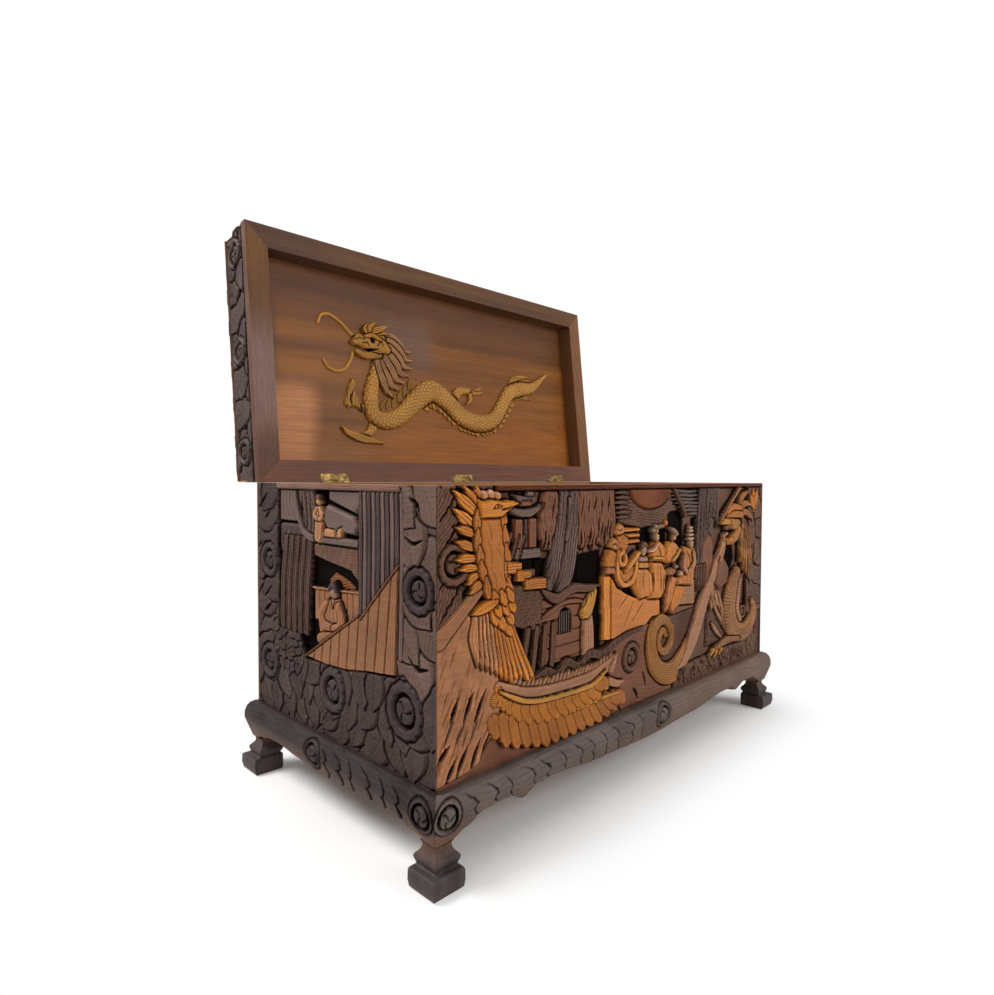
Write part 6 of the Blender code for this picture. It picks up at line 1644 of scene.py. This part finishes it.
# The feet's greyish tones are their dark stain with a painted bluish sheen
feet_stain_and_sheen = planed_camphor("stained_camphor_feet_painted_sheen", "#2f2727", "#4e4344", UPRIGHT,
                           [((None, None), (0.077, None), 0.012, "#5b4032", 0.85),
                            ((None, None), (None, 0.034), 0.012, "#54392b", 0.6)], 0.5)
brass = worn_brass()


def dress(material, *names):
    for name in names:
        for place in frame["nodes"][name].material_slots:
            place.material = material


# The chest

boards_glued(("carved_front_board_low", "carved_front_board_middle", "carved_front_board_high"),
             carve_front(), wall_place("front"), WALL, carved_long, inner_long, (WALL, 0), "chest",
             "front_panel")
boards_glued(("carved_left_end_low", "carved_left_end_high"), carve_end(1.2), wall_place("left"), WALL,
             carved_short, inner_short, (WALL, 0), "chest", "left_end_panel")
boards_glued(("carved_right_end",), carve_end(1.8), wall_place("right"), WALL, carved_short, inner_short,
             (WALL, 0), "chest", "right_end_panel")
back_board(dark_long, inner_long)
for side, pace in (("front", 2.2), ("rear", 3.2)):
    apron = carve_apron(HALF_LENGTH, LONG_WAVE, (-476, 8), (-500, 36), pace, APRON, "#634d40")
    make_apron(side, apron, HALF_LENGTH, carved_long)
for side, pace in (("left", 1.8), ("right", 2.6)):
    apron = carve_apron(HALF_DEPTH, SHORT_WAVE, (0, 214), (240, -30), pace, "#312826")
    make_apron(side, apron, HALF_DEPTH, carved_short)

# The lid

for side, way, seed, pace in (("left", -1, 61, 1.9), ("right", 1, 62, 2.4)):
    band = carve_band(LID_HEIGHT, ((470, 60), (268, 60), (62, 62)), seed, pace).settle()
    band = board(f"carved_lid_{side}_band", band, on_lid_side(way), RAIL_WIDTH, carved_upright,
                 rail_upright, (RAIL_WIDTH, 0))
    join_to(band, "lid", "rail_wood", f"lid_{side}_rail")
band = carve_band(2 * HALF_LENGTH, ((50, 62), (286, 62), (522, 62), (758, 62), (994, 62)), 63, 2.2).settle()
band = board("carved_lid_front_band", band, on_lid_front, RAIL_WIDTH, carved_long, rail_long,
             (RAIL_WIDTH, 0))
join_to(band, "lid", "rail_wood", "lid_front_rail")
top_relief = carve_lid_top()
top_relief.height = np.clip(top_relief.height, -10.5, 1)
boards_glued(("carved_lid_top_rear", "carved_lid_top_front"), top_relief, on_lid_top,
             LID_DEPTH - BAND_DEPTH - 0.4, carved_long, inner_long, (0, 0), "lid", "lid_top_board",
             steep=2.0)
strip = plain_board(-HALF_LENGTH, HALF_LENGTH, RAIL_DEPTH + FIT, BAND_DEPTH + FIT, UMBER, 64).settle()
strip = board("lid_rear_strip", strip, on_lid_rear, RAIL_WIDTH, carved_long, inner_long, (RAIL_WIDTH, 0))
join_to(strip, "lid", "dark_wood")
make_dragon(carved_long)

dress(rail_long, "lid_rear_rail")
dress(panel_wood, "lid_inner_panel")
dress(inner_long, "bottom_board_front", "bottom_board_middle", "bottom_board_rear")
for corner in ("front_left", "front_right", "rear_right", "rear_left"):
    dress(feet_stain_and_sheen, f"foot_{corner}")
    dress(inner_long, f"corner_block_{corner}")
for side in ("left", "middle", "right"):
    dress(brass, f"hinge_box_leaf_{side}", f"hinge_lid_leaf_{side}", f"hinge_pin_{side}")
    for place in (1, 2, 3):
        dress(brass, f"box_screw_{side}_{place}", f"lid_screw_{side}_{place}")

# Floor, light and camera

scene = bpy.context.scene
scene.view_settings.view_transform = "Standard"

bpy.ops.object.select_all(action="DESELECT")
bpy.ops.mesh.primitive_plane_add(size=30)
floor = bpy.context.object
floor.name = "studio_floor"


def seen_directly(add):
    """1 for what the camera sees, straight or in a mirror or glass."""
    path = add("LightPath")
    some = add("Math", {0: path.outputs["Is Camera Ray"], 1: path.outputs["Is Glossy Ray"]},
               operation="MAXIMUM")
    return add("Math", {0: some, 1: path.outputs["Is Transmission Ray"]}, operation="MAXIMUM").outputs[0]


def white_floor():
    """White studio paper: it keeps the shadow under the chest and runs out to plain white."""
    made, add = new_material("white_studio_paper")
    paper = add("BsdfPrincipled",
                {"IOR": 1.48, "Base Color": rgba("#f6f5f3"), "Roughness": 0.9, "Specular IOR Level": 0.1})
    spot = add("VectorMath", {0: add("TexCoord").outputs["Object"], 1: (0, MIDDLE, 0)},
               operation="SUBTRACT")
    apart = add("VectorMath", {0: spot}, operation="ABSOLUTE")
    beyond = add("VectorMath", {0: apart, 1: (HALF_LENGTH / 1000 - 0.06, HALF_DEPTH / 1000 - 0.06, 0)},
                 operation="SUBTRACT")
    beyond = add("VectorMath", {0: beyond, 1: (0, 0, 0)}, operation="MAXIMUM")
    away = add("VectorMath", {0: beyond}, operation="LENGTH")
    far = add("MapRange", {"Value": away.outputs["Value"], "From Min": 0.0, "From Max": 0.24},
              interpolation_type="SMOOTHSTEP")
    share = add("Math", {0: far, 1: seen_directly(add)}, operation="MULTIPLY")
    glow = add("Emission", {"Color": (1, 1, 1, 1), "Strength": 1.0})
    both = add("MixShader", {0: share, 1: paper, 2: glow})
    add("OutputMaterial", {"Surface": both})
    return made


floor.data.materials.append(white_floor())

world = bpy.data.worlds.new("studio")
world.use_nodes = True
scene.world = world
world.node_tree.nodes.clear()
add = partial(node, world.node_tree)
strength = add("MapRange", {"Value": seen_directly(add), "To Min": 0.5, "To Max": 1.0})
glow = add("Background", {"Color": (1, 1, 1, 1), "Strength": strength})
add("OutputWorld", {"Surface": glow})


def soft_lamp(name, place, aim, size, power):
    bpy.ops.object.light_add(type="AREA", location=place)
    lamp = bpy.context.object
    lamp.name = name
    lamp.data.size = size
    lamp.data.energy = power
    lamp.rotation_euler = (Vector(aim) - Vector(place)).to_track_quat("-Z", "Y").to_euler()


soft_lamp("front_lamp", (1.3, -3.2, 1.9), (0, 0, 0.45), 1.6, 62)
soft_lamp("window", (-2.3, 1.0, 3.0), (0, 0, 0.3), 1.6, 130)

EYE = (-1.0835, -1.002575, 0.5639)
YAW = math.radians(45.12)
PITCH = math.radians(-1.75)
ROLL = math.radians(0.21)
LENS = 23.61
SENSOR = 36
ahead = np.array((math.sin(YAW) * math.cos(PITCH), math.cos(YAW) * math.cos(PITCH), math.sin(PITCH)))
across = np.array((math.cos(YAW), -math.sin(YAW), 0))
upward = np.cross(across, ahead)
turned = math.cos(ROLL) * across + math.sin(ROLL) * upward
raised = math.cos(ROLL) * upward - math.sin(ROLL) * across
bpy.ops.object.camera_add(location=EYE)
camera = bpy.context.object
camera.data.lens = LENS
camera.data.sensor_width = SENSOR
camera.data.clip_start = 0.02
turning = np.stack([turned, raised, -ahead], axis=1)
camera.matrix_world = Matrix([(*row, at) for row, at in zip(turning, EYE)] + [(0, 0, 0, 1)])
scene.camera = camera
